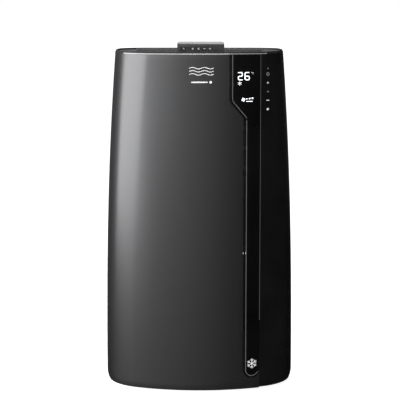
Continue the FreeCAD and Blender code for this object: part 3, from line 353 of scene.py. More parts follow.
def right_seam(height):
    return travel_where(height, 1, SEAM_Y)


# %% [markdown]
# ## Finishes
# The graphite skin is a metallic paint: a dark base with very fine flakes and a satin coat. The black
# panels are polished plastic, which is almost a black mirror. Everything else is moulded plastic with a
# fine grain, sheet metal or rubber. Each finish is a function that wires noise into colour, roughness
# and bump, because a single flat colour never looks real.

# %% A shared start for all finishes
def finish(name, colour, metallic=0.0, roughness=0.5, specular=0.5, coat=0.0, coat_roughness=0.1):
    """A Principled material whose plain values are set on the shader's own sockets."""
    material = bpy.data.materials.new(name)
    material.use_nodes = True
    shader = material.node_tree.nodes["Principled BSDF"]
    shader.inputs["Base Color"].default_value = (*colour, 1)
    shader.inputs["Metallic"].default_value = metallic
    shader.inputs["Roughness"].default_value = roughness
    shader.inputs["Specular IOR Level"].default_value = specular
    shader.inputs["Coat Weight"].default_value = coat
    shader.inputs["Coat Roughness"].default_value = coat_roughness
    shader.inputs["IOR"].default_value = 1.5
    return material


def node(material, kind, **values):
    """Adds a shader node; values name its properties or its inputs."""
    made = material.node_tree.nodes.new(kind)
    for key, value in values.items():
        if hasattr(made, key):
            setattr(made, key, value)
        else:
            made.inputs[key.replace("_", " ")].default_value = value
    return made


def link(material, source, socket, target, entry):
    material.node_tree.links.new(source.outputs[socket], target.inputs[entry])


def noise(material, scale, detail=4.0, rough=0.6, stretch=(1, 1, 1)):
    """Noise on the object's own coordinates, stretched along the axes."""
    place = node(material, "ShaderNodeTexCoord")
    mapping = node(material, "ShaderNodeMapping")
    mapping.inputs["Scale"].default_value = stretch
    pattern = node(material, "ShaderNodeTexNoise", Scale=scale, Detail=detail, Roughness=rough)
    link(material, place, "Object", mapping, "Vector")
    link(material, mapping, "Vector", pattern, "Vector")
    return pattern


def ramp(material, source, dark, light):
    """Turns a value into a colour between two ends; noise keeps near its middle, so the ends lie close."""
    made = node(material, "ShaderNodeValToRGB")
    for element, place, colour in zip(made.color_ramp.elements, (0.35, 0.65), (dark, light)):
        element.position = place
        element.color = (*colour, 1)
    link(material, source, "Fac", made, "Fac")
    return made


def spread(material, source, low, high):
    """Turns a 0 to 1 value into a range."""
    made = node(material, "ShaderNodeMapRange")
    made.inputs["To Min"].default_value = low
    made.inputs["To Max"].default_value = high
    link(material, source, "Fac", made, "Value")
    return made


def bump(material, source, strength, distance):
    """Tilts the surface's normal by a pattern's height."""
    made = node(material, "ShaderNodeBump", Strength=strength, Distance=distance)
    link(material, source, "Fac", made, "Height")
    link(material, made, "Normal", material.node_tree.nodes["Principled BSDF"], "Normal")


def tinted(material, pattern, colour, swing, roughness=None):
    """Varies the base colour, and the roughness if asked, with a pattern."""
    shader = material.node_tree.nodes["Principled BSDF"]
    shades = ramp(material, pattern, [part * (1 - swing) for part in colour],
                  [part * (1 + swing) for part in colour])
    link(material, shades, "Color", shader, "Base Color")
    if roughness:
        link(material, spread(material, pattern, *roughness), "Result", shader, "Roughness")
    return material


# %% The finishes themselves
def graphite_paint():
    """Metallic paint: fine flakes under a satin coat."""
    colour = (0.105, 0.105, 0.108)
    material = finish("graphite_paint", colour, metallic=0.94, roughness=0.33, coat=0.25, coat_roughness=0.22)
    flakes = noise(material, 2600, detail=2, rough=0.7)
    tinted(material, flakes, colour, 0.22, roughness=(0.29, 0.38))
    bump(material, flakes, 0.05, 0.00005)
    return material


def polished_black(name, shade, rough=0.07):
    """Glossy plastic, a little uneven, so that reflections in it aren't ruler-straight."""
    material = finish(name, (shade,) * 3, roughness=rough, specular=0.22)
    haze = noise(material, 9, detail=3)
    tinted(material, haze, (shade,) * 3, 0.25, roughness=(rough * 0.8, rough * 1.3))
    waves = noise(material, 14, detail=1)
    bump(material, waves, 0.02, 0.0004)
    return material


def moulded(name, colour, roughness=0.5, grain=1800, depth=0.00004, strength=0.25, specular=0.4):
    """Moulded plastic: a fine spark-eroded grain and slow, faint shade changes."""
    material = finish(name, colour, roughness=roughness, specular=specular)
    cloud = noise(material, 22, detail=3)
    tinted(material, cloud, colour, 0.045, roughness=(roughness * 0.9, roughness * 1.1))
    bump(material, noise(material, grain, detail=2), strength, depth)
    return material


def sheet_metal(name, colour, roughness=0.35, stretch=(1, 1, 60)):
    """Rolled or brushed metal: noise drawn out along one way."""
    material = finish(name, colour, metallic=1.0, roughness=roughness)
    streaks = noise(material, 60, detail=6, stretch=stretch)
    tinted(material, streaks, colour, 0.12, roughness=(roughness * 0.8, roughness * 1.25))
    bump(material, streaks, 0.06, 0.0001)
    return material


def glow(material, colour, strength):
    """Makes a finish give off light of its own."""
    shader = material.node_tree.nodes["Principled BSDF"]
    shader.inputs["Emission Color"].default_value = (*colour, 1)
    shader.inputs["Emission Strength"].default_value = strength
    return material


def lit_mark(name, colour, strength):
    """A mark that gives off light: it serves the lamps behind smoked plastic, the painted highlight lines and
    the pale prints, whose faint glow is painted light.
    """
    material = finish(name, colour, roughness=0.4)
    tinted(material, noise(material, 300, detail=1), colour, 0.06)
    return glow(material, colour, strength)


graphite = graphite_paint()
black_panel = polished_black("polished_black", shade=0.0044)
smoked = polished_black("smoked_window", shade=0.0024, rough=0.05)
# The next two finishes are painted highlights for the front wall's top edge: dim on the right, bright on the
# left.
highlight_dim = moulded("painted_highlight_dim", (0.21, 0.21, 0.215), roughness=0.3, specular=0.6)
highlight_bright = moulded("silver_trim", (0.38, 0.38, 0.39), roughness=0.35, specular=0.6)
shell_grey = moulded("rear_plastic", (0.022, 0.022, 0.023), roughness=0.48)
deck_grey = moulded("deck_plastic", (0.10, 0.10, 0.102), roughness=0.42)
flap_grey = moulded("flap_plastic", (0.062, 0.062, 0.063), roughness=0.4)
vane_grey = moulded("vane_plastic", (0.03, 0.03, 0.031), roughness=0.45)
pan_grey = moulded("pan_plastic", (0.10, 0.10, 0.105), roughness=0.55)
case_dark = moulded("handset_plastic", (0.035, 0.035, 0.036), roughness=0.3, specular=0.5)
rubber = moulded("rubber", (0.012, 0.012, 0.012), roughness=0.75, grain=900)
wheel_dark = moulded("castor_plastic", (0.02, 0.02, 0.02), roughness=0.4)
tread = moulded("castor_tread", (0.05, 0.05, 0.05), roughness=0.6, grain=700)
fan_dark = moulded("fan_plastic", (0.025, 0.025, 0.025), roughness=0.45)
pale_plastic = moulded("pale_plastic", (0.55, 0.54, 0.5), roughness=0.5)
zinc = sheet_metal("zinc_steel", (0.55, 0.56, 0.58))
fins = sheet_metal("coil_fins", (0.72, 0.73, 0.74), roughness=0.3)
steel_can = sheet_metal("steel_can", (0.5, 0.5, 0.52), roughness=0.3, stretch=(1, 60, 1))
copper = sheet_metal("copper_pipe", (0.72, 0.36, 0.22), roughness=0.28)
enamel = moulded("compressor_enamel", (0.012, 0.012, 0.013), roughness=0.28, grain=250, depth=0.0002)
card_green = moulded("circuit_card", (0.012, 0.09, 0.035), roughness=0.4)
lamp_white = lit_mark("lamp_white", (0.90, 0.92, 0.95), 0.72)
# These two glowing lines are painted highlights: one along the window's edge, one along the seam.
edge_highlight = lit_mark("edge_highlight", (0.08, 0.08, 0.082), 0.18)
seam_highlight = lit_mark("seam_highlight", (0.045, 0.045, 0.046), 0.16)
# The glow on the printed signs is painted light; on the degree sign and the small lamp above the keys it is
# lamp light.
print_grey = lit_mark("print_grey", (0.32, 0.32, 0.33), 0.05)
print_light = lit_mark("print_light", (0.62, 0.62, 0.63), 0.12)
print(len(bpy.data.materials), "finishes")

# %% [markdown]
# ## Front panels
# The fascia is a stepped window: a wide display glass at the top, whose lower left corner is cut off at a
# slant, and a narrow strip that runs down to a round end. One outline serves all the pieces: grown by the
# ring's width and two gaps it trims the graphite panel, and grown by one gap less it gives the dark ring
# that frames the window; the ring's black is painted shade for the shadowed gap round the window. So the
# gaps between the pieces are even all the way round.

# %% The fascia's outline
GLASS_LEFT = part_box("display_glass")[0].x
STRIP_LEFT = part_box("fascia_strip")[0].x
STRIP_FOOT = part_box("fascia_strip")[0].z
GLASS_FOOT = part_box("display_glass")[0].z
STRIP_TOP = GLASS_FOOT + 0.028
GLASS_CORNER = GLASS_FOOT + 0.068
TRIM_WIDE = 0.0034
STRIP_WIDER, FOOT_RISE = 0.0016, 1.4
GLASS_ROUND, SPARE = 0.014, 0.006
STRIP_ROUND = 0.0155
BEFORE, BEHIND = FRONT_Y - 0.02, 0.0
SLANT = math.tan(math.atan2(STRIP_LEFT - GLASS_LEFT, GLASS_CORNER - STRIP_TOP) / 2)
ABOVE = REAR_TOP + 0.02
CROWN = 0.0013
print("window", round(SEAM_X - GLASS_LEFT, 4), "wide, strip", round(SEAM_X - STRIP_LEFT, 4), "wide")


def fascia_prism(name, grow, wider=0.0):
    """The whole window as a prism, grown to the left and at the foot, and a little more beside the strip."""
    drop = grow * SLANT
    left = STRIP_LEFT - grow - wider
    corners = [(GLASS_LEFT - grow, ABOVE, 0), (SEAM_X, ABOVE, 0), (SEAM_X, STRIP_FOOT - grow, STRIP_ROUND),
               (left, STRIP_FOOT - grow, STRIP_ROUND + grow), (left, STRIP_TOP - drop + wider * FOOT_RISE, 0),
               (GLASS_LEFT - grow, GLASS_CORNER - drop, GLASS_ROUND + grow)]
    return prism(name, rounded(corners), BEFORE, BEHIND)


def window_seam(height):
    return travel_where(height, 0, SEAM_X)


def fascia_sheet(name, thickness=WALL, proud=0.0):
    """The stretch of skin that the window's pieces are cut from."""
    return skin_sheet(name, lambda z: travel_where(z, 0, GLASS_LEFT - SPARE), window_seam, LOW, FRONT_TOP,
                      28, 90, thickness, proud, crown=CROWN if thickness == WALL else 0.0)


# %% Graphite panel, dark ring, glass and strip
RING_THICK, RING_SUNK, RING_END = 0.0026, 0.0004, 0.0012
panel = skin_sheet("graphite_panel", left_seam, window_seam, LOW, FRONT_TOP, 150, 60, crown=CROWN)
cut_by(panel, fascia_prism("fascia_cutter", 2 * GAP + TRIM_WIDE, STRIP_WIDER))
soften(panel, 0.0007, 3)
show_as(panel, "housing", graphite, "graphite_shell", "front_panel")

# The ring is a real trim piece, but its black finish is painted shade: it stands for the shadowed gap round
# the window.
window_ring = fascia_sheet("fascia_ring", thickness=RING_THICK, proud=-RING_SUNK)
cut_by(window_ring, fascia_prism("ring_outer", GAP + TRIM_WIDE, STRIP_WIDER), how="INTERSECT")
cut_by(window_ring, fascia_prism("ring_inner", GAP))
cut_by(window_ring, cuboid("ring_end", (SEAM_X - RING_END, BEFORE, 0), (SEAM_X + 0.02, BEHIND, ABOVE)))
soften(window_ring, 0.0002, 2)
show_as(window_ring, "housing", black_panel, "silver_trim", "fascia_trim")

glass_corners = [(GLASS_LEFT, ABOVE, 0), (SEAM_X, ABOVE, 0), (SEAM_X, GLASS_FOOT, 0),
                 (STRIP_LEFT, STRIP_TOP, 0), (GLASS_LEFT, GLASS_CORNER, GLASS_ROUND)]
strip_corners = [(STRIP_LEFT, STRIP_TOP - GAP, 0), (SEAM_X, GLASS_FOOT - GAP, 0),
                 (SEAM_X, STRIP_FOOT, STRIP_ROUND), (STRIP_LEFT, STRIP_FOOT, STRIP_ROUND)]
for name, corners, slot, replaced in (("smoked_glass", glass_corners, "display_window", "display_glass"),
                                      ("black_strip", strip_corners, "black_gloss", "fascia_strip")):
    pane = fascia_sheet(name)
    cut_by(pane, prism("pane_outline", rounded(corners), BEFORE, BEHIND), how="INTERSECT")
    soften(pane, 0.0006, 3)
    show_as(pane, "housing", smoked, slot, replaced)

# %% [markdown]
# The black side panel carries a column of touch keys. Each one is a shallow dish that a fingertip can
# find. A dish is cut with a lens: a disc whose inner rings are pushed down along a parabola.

# %% Black side panel with its dished keys
KEY_X = SEAM_X + 0.01625
KEY_LOW = GLASS_FOOT + 0.0476
KEY_PITCH = 0.0197
DISH_RADIUS, DISH_DEPTH, LENS_TALL, LENS_RINGS = 0.0092, 0.0007, 0.004, 4
KEY_HEIGHTS = [KEY_LOW + KEY_PITCH * index for index in range(5)]


def dish_cutter(name, spot, normal):
    """A lens whose rim lies on the skin and whose belly dips into it."""
    clear()
    bpy.ops.mesh.primitive_circle_add(vertices=48, radius=DISH_RADIUS, fill_type="NGON")
    lens = named(name)
    pick_faces(lens, lambda centre, facing: True)
    for inner_ring in range(LENS_RINGS):
        bpy.ops.mesh.inset(thickness=DISH_RADIUS / (LENS_RINGS + 1))
    leave_edit()
    for vertex in lens.data.vertices:
        share = min(vertex.co.xy.length / DISH_RADIUS, 1.0)
        vertex.co.z = -DISH_DEPTH * (1 - share ** 2)
    thicken(lens, (0, 0, LENS_TALL))
    lens.data.transform(Vector((0, 0, 1)).rotation_difference(normal).to_matrix().to_4x4())
    lens.data.transform(Matrix.Translation(spot))
    return lens


def front_normal(x, z):
    """The skin's outward normal at a spot on the front."""
    across = front_point(x + 0.001, z) - front_point(x - 0.001, z)
    upward = front_point(x, z + 0.001) - front_point(x, z - 0.001)
    return across.cross(upward).normalized()


side_panel = skin_sheet("black_side_panel", lambda z: travel_where(z, 0, SEAM_X + GAP), right_seam,
                        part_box("right_panel")[0].z, FRONT_TOP, 110, 60, crown=CROWN)
for height in KEY_HEIGHTS:
    cut_by(side_panel, dish_cutter("dish", front_point(KEY_X, height), front_normal(KEY_X, height)))
soften(side_panel, 0.0007, 3, angle=30)
show_as(side_panel, "housing", black_panel, "black_gloss", "right_panel")

# %% [markdown]
# ## Marks on the glass
# The lit figures and the key symbols are thin raised pieces. Each is drawn flat from simple strokes, then
# wrapped onto the panel: every vertex keeps its x and z, and takes its y from the housing's formula. Wide
# marks are bisected first, so that they have vertices to bend at.

# %% Strokes, rings and dots, and wrapping them onto the front
MARK_THICK = 0.0005
MARK_PROUD = 0.00018
ACROSS_SPACING, UPWARD_SPACING = 0.004, 0.012
CAP_STEPS, DISC_SIDES = 8, 40


def stroke(start, stop, width):
    """A bar with round ends between two (x, z) points."""
    start, stop = Vector(start), Vector(stop)
    way = math.atan2(stop.y - start.y, stop.x - start.x)
    points = []
    for centre, turn in ((stop, way - math.pi / 2), (start, way + math.pi / 2)):
        for step in range(CAP_STEPS + 1):
            angle = turn + math.pi * step / CAP_STEPS
            points.append(centre + Vector((math.cos(angle), math.sin(angle))) * width / 2)
    return prism("stroke", points, 0, MARK_THICK)


def disc(centre, radius, inner=0.0):
    """A flat disc, or a ring if it has an inner radius."""
    spot = (centre[0], MARK_THICK / 2, centre[1])
    piece = cylinder("disc", spot, radius, MARK_THICK, "y", DISC_SIDES)
    if inner:
        cut_by(piece, cylinder("disc_hole", spot, inner, 4 * MARK_THICK, "y", DISC_SIDES))
    return piece


def polyline(points, width):
    return [stroke(first, second, width) for first, second in zip(points, points[1:])]


def curve_points(centre, radius, first, last, steps=8):
    """Points along an arc, in degrees."""
    angles = [math.radians(first + (last - first) * step / steps) for step in range(steps + 1)]
    return [(centre[0] + radius * math.cos(angle), centre[1] + radius * math.sin(angle)) for angle in angles]


def snowflake(centre, radius, width, branches=(-1, 1)):
    """Six arms, each with two small branches if wanted."""
    arms = []
    middle = Vector(centre)
    for turn in range(6):
        way = Vector((math.cos(math.radians(60 * turn + 30)), math.sin(math.radians(60 * turn + 30))))
        arms.append(stroke(middle, middle + way * radius, width))
        root = middle + way * radius * 0.58
        for side in branches:
            branch = Vector((way.x, way.y))
            branch.rotate(Matrix.Rotation(side * math.radians(50), 2))
            arms.append(stroke(root, root + branch * radius * 0.36, width))
    return arms


def wrap_on_front(name, pieces, material, slot, body="housing", proud=MARK_PROUD, surface=None):
    """Joins a mark's strokes and lays them on the front skin."""
    mark = joined(name, pieces)
    take(mark)
    for axis, spacing in ((0, ACROSS_SPACING), (2, UPWARD_SPACING)):
        places = [vertex.co[axis] for vertex in mark.data.vertices]
        across = [float(axis == 0), 0, float(axis == 2)]
        bpy.ops.object.mode_set(mode="EDIT")
        for step in range(1, int((max(places) - min(places)) / spacing) + 1):
            cut = min(places) + spacing * step
            bpy.ops.mesh.select_all(action="SELECT")
            bpy.ops.mesh.bisect(plane_co=[cut * part for part in across], plane_no=across)
        leave_edit()
    enter_edit(mark)
    turn_outwards()
    for vertex in mark.data.vertices:
        face = surface if surface is not None else front_point(vertex.co.x, vertex.co.z).y
        vertex.co.y = face - proud + vertex.co.y
    return show_as(mark, body, material, slot)


# %% The lit figures
FIGURE_LOW, FIGURE_HIGH = KEY_LOW + 0.0661, KEY_LOW + 0.0842
STROKE, BEND = 0.0019, 0.0028


def figure_lines(left, right):
    """The middle lines of a figure's strokes: left, right, low, middle and high."""
    half = STROKE / 2
    return left + half, right - half, FIGURE_LOW + half, (FIGURE_LOW + FIGURE_HIGH) / 2, FIGURE_HIGH - half


def digit_two(left, right):
    left, right, low, middle, high = figure_lines(left, right)
    path = [(left, high)]
    path += curve_points((right - BEND, high - BEND), BEND, 90, 0)
    path += curve_points((right - BEND, middle + BEND), BEND, 0, -90)
    path += curve_points((left + BEND, middle - BEND), BEND, 90, 180)
    path += curve_points((left + BEND, low + BEND), BEND, 180, 270)
    path.append((right, low))
    return polyline(path, STROKE)


def digit_six(left, right):
    left, right, low, middle, high = figure_lines(left, right)
    path = [(right - 0.0008, high)]
    path += curve_points((left + BEND, high - BEND), BEND, 90, 180)
    path += curve_points((left + BEND, low + BEND), BEND, 180, 270)
    path += curve_points((right - BEND, low + BEND), BEND, -90, 0)
    path += curve_points((right - BEND, middle - BEND), BEND, 0, 90)
    path += curve_points((left + BEND, middle - BEND), BEND, 90, 180)
    return polyline(path, STROKE)


FIGURES = GLASS_LEFT + 0.0142
wrap_on_front("lit_two", digit_two(FIGURES, FIGURES + 0.0108), lamp_white, "display_window")
wrap_on_front("lit_six", digit_six(FIGURES + 0.0150, FIGURES + 0.0265), lamp_white, "display_window")
degree = [disc((FIGURES + 0.0306, FIGURE_HIGH - 0.0010), 0.0010, 0.0005)]
degree += polyline(curve_points((FIGURES + 0.0340, FIGURE_HIGH - 0.0026), 0.0015, 50, 310), 0.0007)
wrap_on_front("lit_degree", degree, print_light, "display_window")
flake = snowflake((FIGURES + 0.0040, FIGURE_LOW - 0.0068), 0.0043, 0.0008, branches=())
wrap_on_front("lit_snowflake", flake, lamp_white, "display_window")

# %% [markdown]
# Below the figures a fan with four blades stands for the fan's speed, and three growing bars say how fast it
# runs. They are the same strokes and discs again, turned round the fan's middle by a loop.

# %% The fan symbol with its speed bars
FAN_SPOT = Vector((GLASS_LEFT + 0.0267, KEY_LOW + 0.0230))
fan_symbol = [disc(FAN_SPOT, 0.0013)]
for turn in range(4):
    way = Vector((math.cos(math.radians(90 * turn + 20)), math.sin(math.radians(90 * turn + 20))))
    fan_symbol.append(stroke(FAN_SPOT + way * 0.0018, FAN_SPOT + way * 0.0030, 0.0030))
wrap_on_front("lit_fan", fan_symbol, lamp_white, "display_window")
BAR_PITCH, BAR_HALF = 0.0063, 0.0006
bars = []
for index in range(3):
    x, z = FAN_SPOT.x + 0.0078 + BAR_PITCH * index, FAN_SPOT.y + 0.0016 + 0.0006 * index
    bars.append(stroke((x - BAR_HALF, z), (x + BAR_HALF, z), 0.0022 + 0.0005 * index))
underline = FAN_SPOT.y - 0.0040
bars.append(stroke((FAN_SPOT.x + 0.0068, underline), (FAN_SPOT.x + 0.0202, underline), 0.0014))
wrap_on_front("lit_bars", bars, lamp_white, "display_window")

# %% [markdown]
# A fine pale line just inside the window's edge is a painted highlight, where the glass's bevelled edge
# catches the light. It follows the outline round the slant and the foot, and a second painted highlight runs
# up the seam beside the keys. Both are strokes through the outline's own points.

# %% Painted highlight lines along the window's edge
LINE_WIDE, LINE_IN, STRIP_IN, SEAM_IN = 0.0017, 0.0024, 0.0010, 0.0003
LINE_TOP = FRONT_TOP - 0.0025
glass_x, strip_x, seam_x = GLASS_LEFT + LINE_IN, STRIP_LEFT + STRIP_IN, SEAM_X - SEAM_IN
bent = rounded([(glass_x, GLASS_CORNER + 0.03, 0), (glass_x, GLASS_CORNER, GLASS_ROUND),
                (STRIP_LEFT + LINE_IN, STRIP_TOP, 0)], 6)
glass_line = [(glass_x, LINE_TOP)] + bent[1:-1] + [(STRIP_LEFT + 0.0015, STRIP_TOP + 0.0012)]
wrap_on_front("window_line", polyline(glass_line, LINE_WIDE), edge_highlight, "silver_trim")
foot_line = [(strip_x, STRIP_TOP - 0.004), (strip_x, STRIP_FOOT + STRIP_ROUND)]
foot_middle = (STRIP_LEFT + STRIP_ROUND, STRIP_FOOT + STRIP_ROUND)
foot_line += curve_points(foot_middle, STRIP_ROUND - STRIP_IN, 180, 330, 14)
wrap_on_front("strip_line", polyline(foot_line, LINE_WIDE), edge_highlight, "silver_trim")
seam_line = polyline([(seam_x, LINE_TOP), (seam_x, LOW + 0.16)], 0.0014)
wrap_on_front("seam_line", seam_line, seam_highlight, "silver_trim")

# %% [markdown]
# Each touch key has a printed sign in its dish, and a small lamp stands above the top key. Some signs are
# needed again on the remote control, so they are functions of a place and a few sizes.

# %% Symbols of the touch keys, from the lowest key up
SIGN_SUNK = DISH_DEPTH * 0.72
ARROW_HALF, ARROW_FOOT, ARROW_TIP = 0.0018, 0.0006, 0.0008


def bar_sign(x, z, half, width):
    return [stroke((x - half, z), (x + half, z), width)]


def plus_sign(x, z, half, tall, width):
    return bar_sign(x, z, half, width) + [stroke((x, z - tall), (x, z + tall), width)]


def power_sign(x, z, radius, foot, head, width, steps):
    """A ring that is open at the top, with a bar in the opening."""
    open_ring = polyline(curve_points((x, z), radius, 125, 415, steps), width)
    return open_ring + [stroke((x, z + foot), (x, z + head), width)]


arrow = [(KEY_X - ARROW_HALF, KEY_HEIGHTS[2] - ARROW_FOOT), (KEY_X, KEY_HEIGHTS[2] + ARROW_TIP),
         (KEY_X + ARROW_HALF, KEY_HEIGHTS[2] - ARROW_FOOT)]
symbols = {
    "round_mark": ([disc((KEY_X, KEY_HEIGHTS[0]), 0.0027)], print_light),
    "minus_mark": (bar_sign(KEY_X, KEY_HEIGHTS[1], 0.0030, 0.0016), print_light),
    "arrow_mark": (polyline(arrow, 0.0009), print_grey),
    "plus_mark": (plus_sign(KEY_X, KEY_HEIGHTS[3], 0.0018, 0.0018, 0.0014), print_light),
    "power_mark": (power_sign(KEY_X, KEY_HEIGHTS[4], 0.0030, 0.0008, 0.0036, 0.0009, 16), print_grey),
}
for name, (pieces, material) in symbols.items():
    wrap_on_front(name, pieces, material, "black_gloss", proud=-SIGN_SUNK)
wrap_on_front("lamp_mark", [disc((KEY_X, KEY_HEIGHTS[4] + 0.0126), 0.0011)], print_grey, "black_gloss")

# %% [markdown]
# A maker's badge would sit high on the graphite panel. A plain sign for moving air, three waves over a short
# bar, takes its place, and a snowflake stands at the foot of the black strip.

# %% Plain signs in place of badges
SIGN_X, SIGN_Z = 0.005, KEY_LOW + 0.0868
RULE_Z = SIGN_Z - 0.0244


def wave(height, half, swell, width):
    points = [(SIGN_X - half + 2 * half * step / 24, height + swell * math.sin(2 * math.pi * step / 12))
              for step in range(25)]
    return polyline(points, width)


air_sign = []
for level in (-1, 0, 1):
    air_sign += wave(SIGN_Z + 0.0068 * level, 0.0265, 0.0017, 0.0015)
wrap_on_front("air_sign", air_sign, print_light, "graphite_shell")
rule = [stroke((SIGN_X - 0.0215, RULE_Z), (SIGN_X + 0.0125, RULE_Z), 0.0030),
        disc((SIGN_X + 0.0205, RULE_Z), 0.0030)]
wrap_on_front("short_rule", rule, print_light, "graphite_shell")
foot_sign = snowflake((SEAM_X - 0.0173, STRIP_FOOT + 0.0295), 0.0112, 0.0014)
wrap_on_front("foot_snowflake", foot_sign, print_light, "black_gloss")

# %% [markdown]
# ## The back
# The rear shell wraps round from seam to seam. Two louvred covers let air in, a round socket lets hot air
# out through a hose, and each side has a hand grip. All the openings are cut in one go with joined prisms,
# because one Boolean is quicker and cleaner than thirty.

# %% Rear shell
SOCKET_HIGH = (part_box("exhaust_socket")[0].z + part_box("exhaust_socket")[1].z) / 2
SOCKET_OUTER = 0.075
INSIDE, OUTSIDE = BACK_Y - 0.045, BACK_Y + 0.02
WINDOWS = {"upper_grille": (0.148, 0.492, 0.704, 17), "lower_grille": (0.138, 0.092, 0.296, 16)}
SCREW_SIDE, SCREW_RADIUS = 0.118, 0.00425
screw_low, screw_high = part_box("rear_screws")[0].z + 0.004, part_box("rear_screws")[1].z - 0.004
SCREW_LEVELS = (screw_low, 0.320, 0.476, screw_high)
PLUG_X, PLUG_Z, PLUG_RADIUS = 0.110, 0.048, 0.00825
GRIP_LOW, GRIP_HIGH = (0.190, 0.0725, 0.626), (0.250, 0.1525, 0.654)

shell = skin_sheet("rear_shell", lambda z: travel_where(z, 1, SEAM_Y + GAP),
                   lambda z: 2 * ring(z)[4] - travel_where(z, 1, SEAM_Y + GAP), LOW, REAR_TOP, 160, 60,
                   crown=CROWN)
cutters = []
for half, low, high, count in WINDOWS.values():
    cutters.append(box_prism("window_cutter", -half, half, low, high, INSIDE, OUTSIDE, 0.0015))
cutters.append(cylinder("socket_cutter", (0, BACK_Y, SOCKET_HIGH), SOCKET_OUTER + GAP / 2, 0.06, "y", 128))
for side in (-1, 1):
    cutters.append(cylinder("small_cutter", (side * PLUG_X, BACK_Y, PLUG_Z), PLUG_RADIUS, 0.05, "y"))
    for level in SCREW_LEVELS:
        place = (side * SCREW_SIDE, BACK_Y, level)
        cutters.append(cylinder("screw_cutter", place, SCREW_RADIUS, 0.05, "y", 24))
    grip = cuboid("grip_cutter", GRIP_LOW, GRIP_HIGH)
    soften(grip, 0.006, 4)
    if side < 0:
        take(grip)
        bpy.ops.transform.mirror(constraint_axis=(True, False, False), center_override=(0, 0, 0))
        bpy.ops.object.transform_apply(location=True, rotation=True, scale=True)
        enter_edit(grip)
        turn_outwards()
    cutters.append(grip)
cut_by(shell, joined("rear_cutters", cutters))
soften(shell, 0.0006, 3)
show_as(shell, "housing", shell_grey, "grey_plastic", "rear_housing")

# %% [markdown]
# A louvred cover is the same skin with two columns of slots. The slots are joined to one cutter. Rounded slot
# ends are what an injection mould gives.

# %% Louvred covers
SLOT_TALL, SLOT_PITCH = 0.006, 0.011


def louvred_cover(name, body, half, low, high, count):
    def back_travel(x):
        return lambda z: ring(z)[4] - x
    cover = skin_sheet(name, back_travel(half - GAP), back_travel(GAP - half), low + GAP, high - GAP, 40, 20)
    slots = []
    for index in range(count):
        foot = low + SLOT_PITCH * (index + 1)
        for side in (-1, 1):
            ends = sorted((side * SLOT_TALL / 2, side * (half - SLOT_PITCH)))
            slots.append(box_prism("slot", ends[0], ends[1], foot, foot + SLOT_TALL, INSIDE, OUTSIDE, 0.0028))
    cut_by(cover, joined("slots", slots))
    soften(cover, 0.0005, 2)
    return show_as(cover, body, shell_grey, "grey_plastic", name.replace("cover", "grille"))


for name, (half, low, high, count) in WINDOWS.items():
    louvred_cover(name.replace("grille", "cover"), "filter_drawer" if name == "upper_grille" else "housing",
                  half, low, high, count)

# %% [markdown]
# The exhaust socket is a turned part: a wall with a rounded lip and an inner ledge that the hose's collar
# clips behind. Its section is drawn once and spun round the socket's axis.

# %% Exhaust socket and castor wheels, both spun from a section
def spun(name, section, axis, centre, steps=96):
    """Spins a closed section of (along, radius) points round an axis."""
    clear()
    bpy.ops.mesh.primitive_circle_add(vertices=len(section), radius=1, fill_type="NOTHING")
    piece = named(name)
    for vertex, (along, radius) in zip(piece.data.vertices, section):
        place = (radius, along, 0) if axis == "y" else (along, radius, 0)
        vertex.co = Vector(centre) + Vector(place)
    turn = (0, 1, 0) if axis == "y" else (1, 0, 0)
    enter_edit(piece)
    bpy.ops.mesh.spin(steps=steps, angle=2 * math.pi, center=centre, axis=turn)
    bpy.ops.mesh.select_all(action="SELECT")
    bpy.ops.mesh.remove_doubles(threshold=0.00001)
    turn_outwards()
    return piece


socket_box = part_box("exhaust_socket")
INNER = SOCKET_OUTER - 0.003
deep = socket_box[1].y - socket_box[0].y
LEDGE = INNER - 0.0014
socket_section = [(0, INNER), (deep - 0.012, INNER), (deep - 0.011, LEDGE), (deep - 0.008, LEDGE),
                  (deep - 0.007, INNER), (deep - 0.0012, INNER), (deep - 0.0003, INNER + 0.0006),
                  (deep, INNER + 0.0015), (deep - 0.0003, SOCKET_OUTER - 0.0006),
                  (deep - 0.0012, SOCKET_OUTER), (0, SOCKET_OUTER)]
socket = spun("hose_socket", socket_section, "y", (0, socket_box[0].y, SOCKET_HIGH), 128)
soften(socket, 0.0002, 1, angle=50)
show_as(socket, "housing", shell_grey, "grey_plastic", "exhaust_socket")

WHEEL_RADIUS, WHEEL_HALF, AXLE = 0.020, 0.007, 0.0025
half_section = [(WHEEL_HALF, 0.0052), (WHEEL_HALF - 0.0016, 0.0060), (WHEEL_HALF - 0.0022, 0.0075),
                (WHEEL_HALF - 0.0022, 0.0140), (WHEEL_HALF - 0.0014, 0.0152), (WHEEL_HALF - 0.0002, 0.0158),
                (WHEEL_HALF, 0.0168), (WHEEL_HALF - 0.0004, 0.0186), (WHEEL_HALF - 0.0016, 0.0197),
                (WHEEL_HALF - 0.0032, WHEEL_RADIUS)]
wheel_section = half_section + [(-along, radius) for along, radius in reversed(half_section)]
axle_section = [(-0.010, 0.0001), (-0.010, AXLE - 0.0004), (-0.0096, AXLE), (-WHEEL_HALF, AXLE),
                (-WHEEL_HALF, 0.0054), (WHEEL_HALF, 0.0054), (WHEEL_HALF, AXLE), (0.0096, AXLE),
                (0.010, AXLE - 0.0004), (0.010, 0.0001)]
CORNERS = ("front_left", "front_right", "rear_left", "rear_right")
for corner in CORNERS:
    centre = middle_of(*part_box("castor_wheel_" + corner))
    wheel = spun("wheel_" + corner, wheel_section, "x", centre, 64)
    soften(wheel, 0.0002, 1, angle=50)
    show_as(wheel, "castor_wheel_" + corner, tread, "castor_tread", "castor_wheel_" + corner)
    axle = spun("axle_" + corner, axle_section, "x", centre, 32)
    soften(axle, 0.0001, 1, angle=50)
    show_as(axle, "castor_wheel_" + corner, wheel_dark, "castor_plastic")

# %% [markdown]
# ## The top
# The lid is a flat plate set just inside the shell, with a long air outlet and a slot that the remote control
# stands in. A flap lies over the outlet and turns up about pins at its rear edge.

